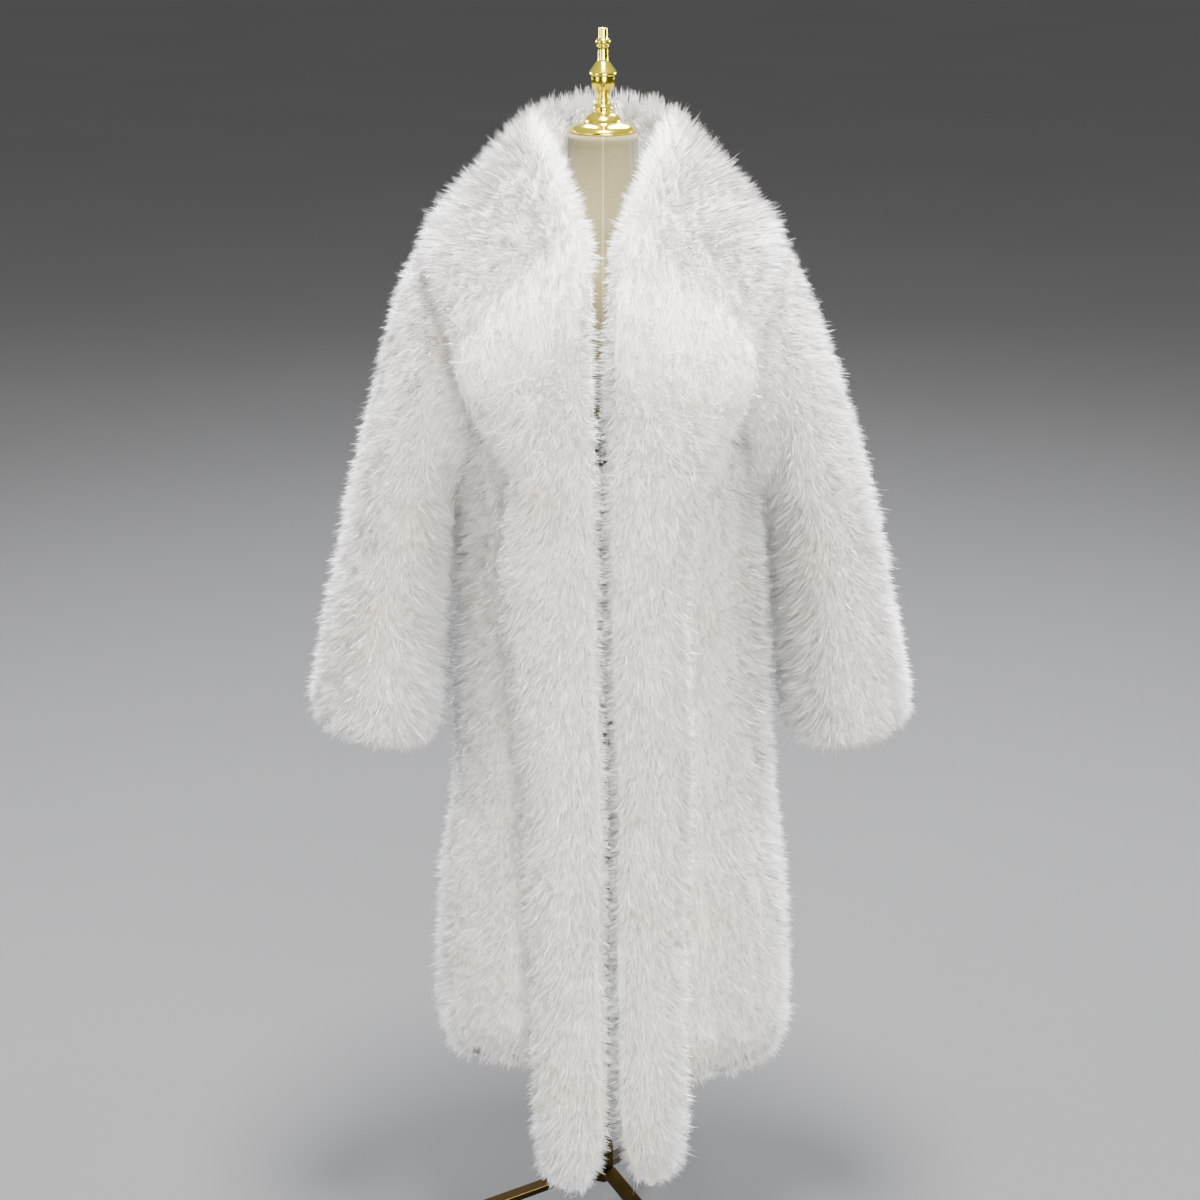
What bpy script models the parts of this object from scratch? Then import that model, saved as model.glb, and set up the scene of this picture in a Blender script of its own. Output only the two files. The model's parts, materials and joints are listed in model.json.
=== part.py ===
"""A long white faux fur coat with a shawl collar, hung on a limbless dress form with a tripod foot.

Metres, +Z up, the floor at z = 0. The front of the coat faces -Y and the wearer's left side is at +X.
The coat's walls are as thick as its pile is deep: the inner face of each wall is the backing cloth and the
outer face is where the tips of the fur end.
"""

from math import cos, pi, radians, sin

import bmesh
import bpy
import numpy as np

# ---- Driving sizes -------------------------------------------------------------------------------

SEAM = 0.0004  # between two sewn pieces
REST = 0.0004  # between a piece and the solid that it lies on
FORM_REST = 0.0009  # between the backing and the form's shoulders, out and up
PILE = 0.034  # depth of the fur on the panels and sleeves
COLLAR_PILE = 0.036  # depth of the fur on the collar and the front bands
SHOULDER_PILE = 0.045  # the sleeve's pile at its head
ROUND = 2.3  # exponent of the body's superellipse rings
HEM = 0.334  # the backing's lower edge
NECKLINE = 1.408  # the backing's upper edge
HEM_OVERHANG = 0.022  # how far the fur reaches past a free edge
FRONT_EDGE = 0.007  # from the centre line to the backing's front edge
COLLAR_END = 1.135  # where the collar is sewn to the front bands
BURIED = 0.004  # how deep a loft starts inside the solid that trims it
EVENING_PASSES = 4  # how often the collar's sections are evened out with their neighbours
HEM_RISE = 0.018  # how much higher the hem hangs beside the right band
HEM_RISE_AT, HEM_RISE_SPREAD, HEM_RISE_TOP = -30.0, 32.0, 0.45  # degrees from the front, and where it ends

NECK_TOP = 1.513  # top of the dress form's neck
FORM_BOTTOM = 0.79
POLE_RADIUS = 0.0095
POLE_SEAT = 0.004  # how thick the hub's floor is under the pole
HUB_TOP = 0.128
HUB_HEIGHT = 0.054
HUB_RADIUS = 0.016  # to its corners
EDGE = 0.001  # the metal parts' bevelled edges
LEG_AZIMUTHS = (187.0, 307.0, 67.0)  # degrees from +X
LEG_WIDTH, LEG_THICKNESS, LEG_SLOPE = 0.0195, 0.009, 0.33
TOE_REACH, TOE_HEEL = 0.282, 0.006  # the leg's end, and how far its level toe starts before the foot
FOOT_RADIUS, FOOT_HEIGHT, FOOT_REACH = 0.0125, 0.009, 0.262
FOOT_EDGE = 0.0015

# The pole's flange, from the form's underside down: distance below it, and radius.
FLANGE_PROFILE = [(0.000, 0.045), (0.004, 0.046), (0.008, 0.030), (0.030, 0.018), (0.034, POLE_RADIUS)]

# The dress form's rings: half the width, and how far it reaches in front of and behind the pole.
FORM_ROWS = [
    # height, half_width, front, back
    (0.790, 0.148, 0.098, 0.100),
    (0.802, 0.154, 0.104, 0.106),
    (0.880, 0.156, 0.106, 0.112),
    (0.980, 0.134, 0.096, 0.100),
    (1.070, 0.114, 0.088, 0.084),
    (1.170, 0.134, 0.102, 0.092),
    (1.240, 0.146, 0.114, 0.098),
    (1.310, 0.160, 0.104, 0.100),
    (1.342, 0.170, 0.094, 0.096),
    (1.356, 0.171, 0.088, 0.092),
    (1.370, 0.163, 0.080, 0.088),
    (1.382, 0.144, 0.074, 0.083),
    (1.394, 0.116, 0.069, 0.078),
    (1.408, 0.088, 0.064, 0.071),
    (1.427, 0.064, 0.056, 0.060),
    (1.452, 0.050, 0.048, 0.050),
    (1.480, 0.0430, 0.043, 0.044),
    (1.513, 0.0406, 0.0406, 0.0406),
]

# The coat's backing, from below the hem up to where it comes to rest on the form's shoulders.
COAT_ROWS = [
    # height, half_width, front, back
    (0.160, 0.212, 0.168, 0.178),
    (0.334, 0.209, 0.162, 0.172),
    (0.450, 0.205, 0.157, 0.166),
    (0.550, 0.198, 0.153, 0.161),
    (0.650, 0.184, 0.149, 0.156),
    (0.730, 0.177, 0.147, 0.152),
    (0.850, 0.168, 0.145, 0.146),
    (0.970, 0.163, 0.143, 0.141),
    (1.090, 0.161, 0.140, 0.136),
    (1.190, 0.162, 0.136, 0.130),
    (1.270, 0.167, 0.126, 0.122),
    (1.320, 0.172, 0.110, 0.110),
]
SHOULDER_FROM, SHOULDER_TO = 1.342, 1.46  # between these the backing lies on the form, and takes its rings
BACKING_ROWS = COAT_ROWS + [row for row in FORM_ROWS if SHOULDER_FROM <= row[0] <= SHOULDER_TO]

# How far the coat hangs to one side, and where its front edges meet, measured from the coat's middle.
HANG_ROWS = [
    # height, sway, opening
    (0.160, 0.014, -0.002),
    (0.330, 0.014, -0.003),
    (0.530, 0.013, -0.005),
    (0.730, 0.012, -0.003),
    (0.880, 0.010, -0.007),
    (0.990, 0.010, -0.010),
    (1.110, 0.008, -0.009),
    (1.230, 0.005, -0.010),
    (1.330, 0.000, -0.002),
    (1.410, 0.000, 0.000),
]

# The V above the break: half the width between the two backings' front edges.
OPENING_ROWS = [
    # height, half_gap
    (0.160, FRONT_EDGE),
    (1.240, FRONT_EDGE),
    (1.290, 0.012),
    (1.340, 0.018),
    (1.380, 0.026),
    (1.408, 0.034),
]

# Soft upright folds of the skirt: each pushes the cloth out, or in where its depth is negative.
FOLDS = [
    # angle from the front, depth, spread, height where it dies out
    (62.0, 0.009, 9.0, 0.93),
    (84.0, -0.006, 8.0, 0.73),
    (108.0, 0.010, 10.0, 0.88),
    (132.0, -0.008, 9.0, 0.83),
    (154.0, 0.012, 10.0, 1.03),
    (178.0, -0.007, 9.0, 0.78),
    (203.0, 0.011, 11.0, 0.98),
    (228.0, -0.008, 9.0, 0.88),
    (251.0, 0.010, 10.0, 0.93),
    (276.0, -0.005, 8.0, 0.73),
    (300.0, 0.008, 9.0, 0.88),
]

# The sleeve's rings: the outer and inner point of each at the fur's tips, and how far it reaches along Y.
SLEEVE_ROWS = [
    # outer_x, outer_z, inner_x, inner_z, centre_y, half_y
    (0.120, 1.376, 0.120, 1.060, 0.008, 0.100),
    (0.175, 1.386, 0.170, 1.042, 0.008, 0.102),
    (0.214, 1.388, 0.199, 1.015, 0.008, 0.105),
    (0.240, 1.356, 0.206, 0.970, 0.007, 0.108),
    (0.267, 1.292, 0.210, 0.930, 0.006, 0.110),
    (0.296, 1.205, 0.213, 0.895, 0.004, 0.111),
    (0.326, 1.102, 0.215, 0.865, 0.002, 0.112),
    (0.348, 1.005, 0.216, 0.835, 0.000, 0.113),
    (0.367, 0.915, 0.217, 0.805, -0.002, 0.114),
    (0.383, 0.835, 0.218, 0.778, -0.004, 0.115),
    (0.391, 0.790, 0.219, 0.760, -0.005, 0.115),
]

# The collar's sections from the middle of the back round to the front: where its inner and outer edges
# lie on the coat (angle from the front, height), how far it rises, leans and hugs the neck, and how
# upright it stands. An inner angle of 0 follows the front edge.
COLLAR_ROWS = [
    # inner_angle, inner_z, outer_angle, outer_z, rise, lean, hug, upright
    (180.0, 1.406, 180.0, 1.318, 0.126, 0.020, 0.050, 1.0),
    (156.0, 1.406, 158.0, 1.318, 0.121, 0.020, 0.050, 1.0),
    (128.0, 1.406, 132.0, 1.330, 0.110, 0.018, 0.049, 1.0),
    (106.0, 1.406, 110.0, 1.352, 0.102, 0.018, 0.051, 1.0),
    (86.0, 1.406, 91.0, 1.370, 0.100, 0.018, 0.052, 1.0),
    (64.0, 1.406, 74.0, 1.352, 0.096, 0.016, 0.050, 1.0),
    (44.0, 1.406, 63.0, 1.328, 0.083, 0.012, 0.042, 0.9),
    (30.0, 1.404, 55.0, 1.296, 0.064, 0.002, 0.030, 0.6),
    (0.0, 1.388, 51.5, 1.270, 0.050, -0.006, 0.020, 0.2),
    (0.0, 1.350, 50.0, 1.242, 0.046, -0.010, 0.014, 0.0),
    (0.0, 1.302, 47.0, 1.214, 0.043, -0.012, 0.010, 0.0),
    (0.0, 1.248, 41.0, 1.184, 0.040, -0.012, 0.006, 0.0),
    (0.0, 1.192, 35.0, 1.158, 0.037, -0.012, 0.005, 0.0),
    (0.0, 1.135, 30.0, 1.135, 0.034, -0.012, 0.005, 0.0),
]

# The front bands: the width of their undersides, and how full they are and how far each edge draws in near
# their rounded ends.
BAND_ROWS = [
    # height above the band's end, left_width, right_width, fullness, inner_inset, outer_inset
    (0.000, 0.062, 0.068, 0.30, 0.030, 0.022),
    (0.010, 0.062, 0.068, 0.72, 0.022, 0.012),
    (0.030, 0.063, 0.069, 0.94, 0.013, 0.004),
    (0.060, 0.064, 0.070, 1.00, 0.006, 0.000),
    (0.110, 0.066, 0.071, 1.00, 0.001, 0.000),
    (0.200, 0.068, 0.071, 1.00, 0.000, 0.000),
    (0.360, 0.069, 0.073, 1.00, 0.000, 0.000),
    (0.520, 0.070, 0.076, 1.00, 0.000, 0.000),
    (0.680, 0.070, 0.080, 1.00, 0.000, 0.000),
    (0.820, 0.071, 0.081, 1.00, 0.000, 0.000),
]
BAND_END = {1: 0.198, -1: 0.182}  # height of each band's tip, by side

# The section of the collar and the bands. On the neck's side its face goes up through three points, the last
# of them the crest, and two more lie between the crest and the outer edge.
NECK_SIDE = [
    # share of the rise, of the hug, of the lean
    (0.42, 1.05, 0.00),
    (0.84, 0.62, 0.38),
    (1.00, 0.00, 1.00),
]
FACE_SHARES = (0.34, 0.68)
CROWN = 0.006  # how far the face bulges between crest and edge
FOOT_HUG = 0.95  # share of the hug at the section's foot
EDGE_TOP, EDGE_SET_BACK = 0.93, 0.004  # share of the pile's depth over the outer edge, and how far inside it
EDGE_MIDDLE, EDGE_REACH = 0.40, 0.017  # share of the pile's depth where the edge is furthest out, and how far

# How the fur is rounded past a free edge, from the edge up: share of the pile's depth, share of the overhang.
HEM_ROUNDING = [(0.55, 1.00), (0.90, 0.55)]
CUFF_ROUNDING = [(0.93, 0.40), (0.55, 1.00)]  # the same, from the last ring out
CUFF_STEP = 0.001  # between the backing's last rings
FRONT_EDGE_DEPTH = 0.75  # share of the pile's depth at a front panel's edge

# The neck cap's outline, from its top down: height above the neck's top, and radius.
CAP_PROFILE = [
    # height, radius
    (0.1205, 0.0048),
    (0.1212, 0.0057),
    (0.1098, 0.0058),
    (0.1086, 0.0078),
    (0.1054, 0.0094),
    (0.1024, 0.0084),
    (0.1014, 0.0068),
    (0.1000, 0.0079),
    (0.0984, 0.0064),
    (0.0850, 0.0064),
    (0.0800, 0.0096),
    (0.0736, 0.0142),
    (0.0694, 0.0168),
    (0.0680, 0.0168),
    (0.0668, 0.0152),
    (0.0600, 0.0150),
    (0.0530, 0.0132),
    (0.0470, 0.0098),
    (0.0428, 0.0070),
    (0.0412, 0.0092),
    (0.0392, 0.0078),
    (0.0372, 0.0094),
    (0.0346, 0.0078),
    (0.0318, 0.0108),
    (0.0280, 0.0126),
    (0.0246, 0.0112),
    (0.0228, 0.0126),
    (0.0190, 0.0186),
    (0.0146, 0.0220),
    (0.0118, 0.0232),
    (0.0106, 0.0272),
    (0.0078, 0.0350),
    (0.0040, 0.0396),
    (0.0018, 0.0405),
    (0.0000, 0.0400),
]
CAP_HOLE_DEPTH, CAP_HOLE_RADIUS = 0.012, 0.0034

# Sampling of the panels: shares of the way from the front edge to the side seam, and angles round the back.
FRONT_SHARES = np.array([0, 0.06, 0.18, 0.32, 0.46, 0.60, 0.73, 0.87, 1.0])
BACK_ANGLES = np.linspace(90, 270, 19)
PANEL_HEIGHTS = np.array(
    [HEM, HEM + 0.012, 0.36, 0.45, 0.57, 0.69, 0.81, 0.93, 1.02, 1.10, 1.18, 1.245, 1.29, 1.32]
    + [row[0] for row in FORM_ROWS if SHOULDER_FROM <= row[0] <= NECKLINE]
)
SLEEVE_SIDES = 20

COLOURS = {
    "fur": (0.93, 0.91, 0.89, 0.9, 0.0),
    "linen": (0.62, 0.56, 0.47, 0.85, 0.0),
    "gold": (0.85, 0.64, 0.18, 0.18, 1.0),
    "rubber": (0.05, 0.05, 0.05, 0.7, 0.0),
}


# ---- Curves and surfaces ----------------------------------------------------------------------------


def through(rows, column, height):
    """A column of a table at a height, on a smooth curve through its rows that doesn't overshoot them."""
    xs = np.array([row[0] for row in rows])
    ys = np.array([row[column] for row in rows])
    rises = np.diff(ys) / np.diff(xs)
    product = rises[:-1] * rises[1:]
    total = np.where(product > 0, rises[:-1] + rises[1:], 1.0)
    slopes = np.concatenate([rises[:1], np.where(product > 0, 2 * product / total, 0), rises[-1:]])
    x = np.clip(np.asarray(height, float), xs[0], xs[-1])
    i = np.clip(np.searchsorted(xs, x) - 1, 0, len(xs) - 2)
    step = xs[i + 1] - xs[i]
    t = (x - xs[i]) / step
    return (
        ys[i] * (1 + 2 * t) * (1 - t) ** 2
        + slopes[i] * step * t * (1 - t) ** 2
        + ys[i + 1] * t * t * (3 - 2 * t)
        + slopes[i + 1] * step * t * t * (t - 1)
    )


def signed_power(value, power):
    return np.sign(value) * np.abs(value) ** power


def ring(angle, height, rows):
    """A point of a table's ring: angle 0 is the front, 90 degrees the wearer's left side."""
    turn = np.radians(angle)
    front, back = through(rows, 2, height), through(rows, 3, height)
    across = through(rows, 1, height) * signed_power(np.sin(turn), 2 / ROUND)
    reach = np.where(np.cos(turn) > 0, front, back)
    along = -reach * signed_power(np.cos(turn), 2 / ROUND)
    return np.stack(np.broadcast_arrays(across, along, height), axis=-1).astype(float)


def fold_depth(angle, height):
    """How far the skirt's folds push the cloth out there."""
    pushed = np.zeros(np.broadcast(angle, height).shape)
    for centre, depth, spread, top in FOLDS:
        away = (np.asarray(angle) - centre + 180) % 360 - 180
        fading = np.clip((top - height) / (top - HEM), 0, 1) ** 1.3
        pushed = pushed + depth * fading * np.exp(-((away / spread) ** 2))
    return pushed


def backing(angle, height):
    """A point of the coat's backing cloth, before it sways to the side."""
    place = ring(angle, height, BACKING_ROWS) + (0, 0, FORM_REST)
    flat = place * (1, 1, 0)
    out = flat / np.linalg.norm(flat, axis=-1, keepdims=True)
    return place + out * (fold_depth(angle, height) + FORM_REST)[..., None]


def outward(surface, angle, height):
    """The unit normal of a surface of angle and height, facing out."""
    round_step = surface(angle + 0.5, height) - surface(angle - 0.5, height)
    up_step = surface(angle, height + 0.002) - surface(angle, height - 0.002)
    normal = np.cross(round_step, up_step)
    return normal / np.linalg.norm(normal, axis=-1, keepdims=True)


def sway(places):
    """Shifts points of the coat sideways, as it hangs."""
    moved = np.array(places, float)
    moved[..., 0] += through(HANG_ROWS, 1, moved[..., 2])
    return moved


def front_edge(height, side):
    """The angle of a front panel's edge, measured on its own side."""
    middle = through(HANG_ROWS, 2, height)
    across = side * middle + through(OPENING_ROWS, 1, height)
    share = across / through(BACKING_ROWS, 1, height)
    return np.degrees(np.arcsin(signed_power(share, ROUND / 2)))


def fur(angle, height, lift=0.0):
    """A point where the panels' fur ends, moved out by lift."""
    return backing(angle, height) + outward(backing, angle, height) * (PILE + lift)


# ---- Solids ---------------------------------------------------------------------------------------------


def material(name):
    red, green, blue, rough, metal = COLOURS[name]
    made = bpy.data.materials.get(name) or bpy.data.materials.new(name)
    made.use_nodes = True
    shader = made.node_tree.nodes["Principled BSDF"]
    shader.inputs["Base Color"].default_value = (red, green, blue, 1)
    shader.inputs["Roughness"].default_value = rough
    shader.inputs["Metallic"].default_value = metal
    made.diffuse_color = (red, green, blue, 1)
    return made


def add_object(name, data, finish, collection):
    made = bpy.data.objects.new(name, data)
    if finish:
        data.materials.append(material(finish))
    collection.objects.link(made)
    return made


def add_cutter(name, data):
    made = add_object(name, data, None, cutters)
    made.hide_render = True
    made.display_type = "WIRE"
    return made


def mesh_of(name, points, faces):
    mesh = bpy.data.meshes.new(name)
    mesh.from_pydata(np.asarray(points).tolist(), [], faces)
    shaper = bmesh.new()
    shaper.from_mesh(mesh)
    bmesh.ops.recalc_face_normals(shaper, faces=shaper.faces)
    shaper.to_mesh(mesh)
    shaper.free()
    mesh.shade_smooth()
    mesh.set_sharp_from_angle(angle=radians(50))
    return mesh


def triangles(low, low_after, high_after, high):
    """A grid's cell as two triangles, split the same way on each surface so that none cuts another."""
    return [[low, low_after, high_after], [low, high_after, high]]


def wall(name, inner, outer, closed=False):
    """A wall between two grids of points of the same shape. A closed one joins its last column to its first."""
    rows, columns = inner.shape[:2]
    count = rows * columns
    index = np.arange(count).reshape(rows, columns)
    nexts = columns if closed else columns - 1
    faces = []
    for row in range(rows - 1):
        for column in range(nexts):
            after = (column + 1) % columns
            corners = [index[row, column], index[row, after], index[row + 1, after], index[row + 1, column]]
            faces += triangles(*(int(c) for c in corners))
            faces += triangles(*(int(c) + count for c in corners))
    rim = [(index[0, c], index[0, (c + 1) % columns]) for c in range(nexts)]
    rim += [(index[-1, (c + 1) % columns], index[-1, c]) for c in range(nexts)]
    if not closed:
        rim += [(index[r + 1, 0], index[r, 0]) for r in range(rows - 1)]
        rim += [(index[r, -1], index[r + 1, -1]) for r in range(rows - 1)]
    for a, b in rim:
        faces.append([int(b), int(a), int(a) + count, int(b) + count])
    points = np.concatenate([inner.reshape(-1, 3), outer.reshape(-1, 3)])
    return mesh_of(name, points, faces)


def loft(name, rings):
    """A closed solid through a stack of rings of points, capped at both ends."""
    rows, columns = rings.shape[:2]
    faces = []
    for row in range(rows - 1):
        for column in range(columns):
            after = (column + 1) % columns
            low, high = row * columns, (row + 1) * columns
            faces += triangles(low + column, low + after, high + after, high + column)
    faces.append(list(range(columns))[::-1])
    faces.append([(rows - 1) * columns + c for c in range(columns)])
    return mesh_of(name, rings.reshape(-1, 3), faces)


def cut(target, *cutting):
    """Takes cutters out of a solid with live Boolean modifiers."""
    for cutter in cutting:
        boolean = target.modifiers.new("cut by " + cutter.name, "BOOLEAN")
        boolean.operation = "DIFFERENCE"
        boolean.object = cutter


def turned(name, profile, finish, steps, at=(0, 0, 0)):
    """A solid turned about Z: its profile is (height, radius) pairs down its outer side, from axis to axis."""
    mesh = bpy.data.meshes.new(name)
    points = [(radius, 0, height) for height, radius in profile]
    mesh.from_pydata(points, [(i, i + 1) for i in range(len(points) - 1)], [])
    made = add_object(name, mesh, finish, parts)
    made.location = at
    screw = made.modifiers.new("turn", "SCREW")
    screw.axis = "Z"
    screw.steps = screw.render_steps = steps
    screw.use_merge_vertices = True
    screw.merge_threshold = 0.00005
    return made


# ---- The dress form and its stand -----------------------------------------------------------------------


def form_rings(lift=0.0):
    """The form's rings, moved out by lift."""
    heights = [row[0] for row in FORM_ROWS]
    angles = np.arange(0, 360, 10.0)
    grid = [[ring(angle, height, FORM_ROWS) for angle in angles] for height in heights]
    rings = np.array(grid)
    rings[..., :2] *= 1 + lift / np.linalg.norm(rings[..., :2], axis=-1, keepdims=True)
    if lift:
        over_shoulder = np.array(heights) >= SHOULDER_FROM
        rings[over_shoulder, :, 2] += lift
        rings[0, :, 2] -= lift
    return rings


def add_form():
    add_object("torso", loft("torso", form_rings()), "linen", parts)
    return add_cutter("torso_clearance", loft("torso_clearance", form_rings(REST)))


def add_cap():
    """The turned neck cap, with a blind hole down its top."""
    bottom = NECK_TOP + REST
    top = CAP_PROFILE[0][0]
    hole = [(top - CAP_HOLE_DEPTH, 0), (top - CAP_HOLE_DEPTH, CAP_HOLE_RADIUS), (top, CAP_HOLE_RADIUS)]
    turned("neck_cap", hole + CAP_PROFILE + [(0, 0)], "gold", 22, (0, 0, bottom))


def add_stand():
    """Pole with a flange under the form, a six-sided hub, and three straight flat legs on round feet."""
    top = FORM_BOTTOM - REST
    hub_floor = HUB_TOP - HUB_HEIGHT
    seat = hub_floor + POLE_SEAT
    pole = [(top, 0)] + [(top - below, radius) for below, radius in FLANGE_PROFILE]
    turned("pole", pole + [(seat, POLE_RADIUS), (seat, 0)], "gold", 24)
    hole = (POLE_RADIUS + REST) / cos(pi / 6)
    hub = [(seat - REST, 0), (seat - REST, hole), (HUB_TOP, hole), (HUB_TOP, HUB_RADIUS - EDGE)]
    hub += [(HUB_TOP - EDGE, HUB_RADIUS), (hub_floor + EDGE, HUB_RADIUS)]
    hub += [(hub_floor, HUB_RADIUS - EDGE), (hub_floor, 0)]
    made = turned("hub", hub, "gold", 6)
    made.rotation_euler[2] = radians(LEG_AZIMUTHS[0] + 30)
    for number, azimuth in enumerate(LEG_AZIMUTHS, 1):
        add_leg(number, radians(azimuth))


def add_leg(number, azimuth):
    """A flat bar that slopes from a side of the hub to a level toe on its foot, drawn from the side."""
    start = HUB_RADIUS * cos(pi / 6) + REST
    toe = FOOT_HEIGHT + REST
    bend = FOOT_REACH - FOOT_RADIUS - TOE_HEEL
    bend_z = toe + LEG_THICKNESS
    climb = LEG_SLOPE * (bend - start)
    outline = [
        (start, bend_z + climb), (bend, bend_z), (TOE_REACH - 2 * EDGE, bend_z), (TOE_REACH, bend_z - 2 * EDGE),
        (TOE_REACH, toe), (bend - LEG_THICKNESS * LEG_SLOPE / 2, toe), (start, toe + climb),
    ]
    curve = bpy.data.curves.new(f"leg_{number}", "CURVE")
    curve.dimensions = "2D"
    curve.fill_mode = "BOTH"
    curve.extrude = LEG_WIDTH / 2
    line = curve.splines.new("POLY")
    line.points.add(len(outline) - 1)
    for point, (reach, height) in zip(line.points, outline):
        point.co = (reach, height, 0, 1)
    line.use_cyclic_u = True
    leg = add_object(f"leg_{number}", curve, "gold", parts)
    leg.rotation_euler = (pi / 2, 0, azimuth)
    foot = [(FOOT_HEIGHT, 0), (FOOT_HEIGHT, FOOT_RADIUS - EDGE), (FOOT_HEIGHT - EDGE, FOOT_RADIUS)]
    foot += [(FOOT_EDGE, FOOT_RADIUS), (0, FOOT_RADIUS - FOOT_EDGE), (0, 0)]
    place = (FOOT_REACH * cos(azimuth), FOOT_REACH * sin(azimuth), 0)
    turned(f"foot_{number}", foot, "rubber", 16, place)


# ---- The coat's body ------------------------------------------------------------------------------------


def hung_heights(angles):
    """The panels' heights at a grid of angles: level, but for the hem's rise beside the right band."""
    away = (angles + 180) % 360 - 180 - HEM_RISE_AT
    fading = np.clip((HEM_RISE_TOP - PANEL_HEIGHTS) / (HEM_RISE_TOP - HEM), 0, 1)
    return PANEL_HEIGHTS[:, None] + HEM_RISE * fading[:, None] * np.exp(-((away / HEM_RISE_SPREAD) ** 2))


def panel_grid(columns):
    """Angles and heights of a panel: columns is a function of height that gives its angles."""
    angles = np.array([columns(height) for height in PANEL_HEIGHTS])
    return angles, hung_heights(angles)


def front_columns(side):
    """Angles of one front panel, from the front edge to the side seam or back, always rising."""

    def at(height):
        edge = front_edge(height, side)
        return np.sort(side * (edge + (90 - edge) * FRONT_SHARES))

    return at


def fur_over(angles, heights):
    """A panel's backing, and the fur's outer face over it: full inside, and rounded down past the hem."""
    inner = backing(angles, heights)
    normals = outward(backing, angles, heights)
    outer = inner + normals * PILE
    for row, (depth, overhang) in enumerate(HEM_ROUNDING):
        outer[row] = inner[row] + normals[row] * PILE * depth
        outer[row, :, 2] -= HEM_OVERHANG * overhang
    return inner, outer


def add_panel(name, columns, seam_shift, edge_column=None):
    angles, heights = panel_grid(columns)
    inner, outer = fur_over(angles, heights)
    for column, shift in seam_shift.items():
        inner[:, column, 1] = outer[:, column, 1] = shift
    if edge_column is not None:  # the pile thins out to the front edge
        depth = outer[:, edge_column] - inner[:, edge_column]
        outer[:, edge_column] = inner[:, edge_column] + depth * FRONT_EDGE_DEPTH
    return add_object(name, wall(name, sway(inner), sway(outer)), "fur", parts)


def add_body(armholes):
    half = SEAM / 2
    made = [
        add_panel("front_left", front_columns(1), {-1: -half}, 0),
        add_panel("front_right", front_columns(-1), {0: -half}, -1),
        add_panel("back", lambda height: BACK_ANGLES, {0: half, -1: half}),
    ]
    for panel in made:
        cut(panel, *armholes)
    return made


def body_hull():
    """What the pieces that lie on the body are trimmed by: the body's fur, filled, and a little larger."""
    left, _ = panel_grid(front_columns(1))
    right, _ = panel_grid(front_columns(-1))
    back = np.repeat(BACK_ANGLES[None, 1:-1], len(PANEL_HEIGHTS), axis=0)
    angles = np.concatenate([left, back, right + 360], axis=1)
    heights = hung_heights(angles)
    _, outer = fur_over(angles, heights)
    outer += outward(backing, angles, heights) * REST
    outer[0, :, 2] -= REST
    side_seams = (len(FRONT_SHARES) - 1, -len(FRONT_SHARES))
    outer[:, side_seams, 1] = 0
    return add_cutter("body_hull", loft("body_hull", sway(outer)))


# ---- Sleeves -------------------------------------------------------------------------------------------


def sleeve_rings(side, inset):
    """Rings through each row's outer and inner point, moved in by inset, a depth for each row."""
    table = np.array(SLEEVE_ROWS)
    top, low = table[:, [0, 1]], table[:, [2, 3]]
    middle, reach = (top + low) / 2, np.linalg.norm(top - low, axis=1) / 2
    axis = (top - low) / (2 * reach[:, None])
    turn = np.arange(SLEEVE_SIDES) * 2 * pi / SLEEVE_SIDES
    inset = np.broadcast_to(inset, reach.shape)
    up = (reach - inset)[:, None] * np.cos(turn)
    over = (table[:, 5] - inset)[:, None] * np.sin(turn)
    x = side * (middle[:, :1] + axis[:, :1] * up)
    z = middle[:, 1:] + axis[:, 1:] * up
    return sway(np.stack([x, table[:, 4:5] + over, z], axis=-1))


def sleeve_inset():
    """The pile's depth at each ring, deeper over the shoulder."""
    depth = np.full(len(SLEEVE_ROWS), PILE)
    depth[:3] = SHOULDER_PILE
    depth[3] = (PILE + SHOULDER_PILE) / 2
    return depth


def add_armhole(name, side):
    rings = sleeve_rings(side, sleeve_inset())[:4]
    return add_cutter(f"armhole_{name}", loft(f"armhole_{name}", rings))


def add_sleeve(name, side, *trims):
    """A tube from inside the body down to the cuff, with the fur rounded past the cuff's edge."""
    outer = sleeve_rings(side, 0.0)
    inner = sleeve_rings(side, sleeve_inset())
    down = outer[-1] - outer[-2]
    down /= np.linalg.norm(down, axis=-1, keepdims=True)
    rims = [
        inner[-1] + (outer[-1] - inner[-1]) * depth + down * HEM_OVERHANG * overhang
        for depth, overhang in CUFF_ROUNDING
    ]
    edges = [inner[-1] + down * CUFF_STEP * number for number in range(1, len(rims) + 1)]
    outer = np.concatenate([outer, rims])
    inner = np.concatenate([inner, edges])
    made = add_object(f"sleeve_{name}", wall(f"sleeve_{name}", inner, outer, closed=True), "fur", parts)
    cut(made, *trims)
    return made


# ---- Collar and front bands -----------------------------------------------------------------------------


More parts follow.
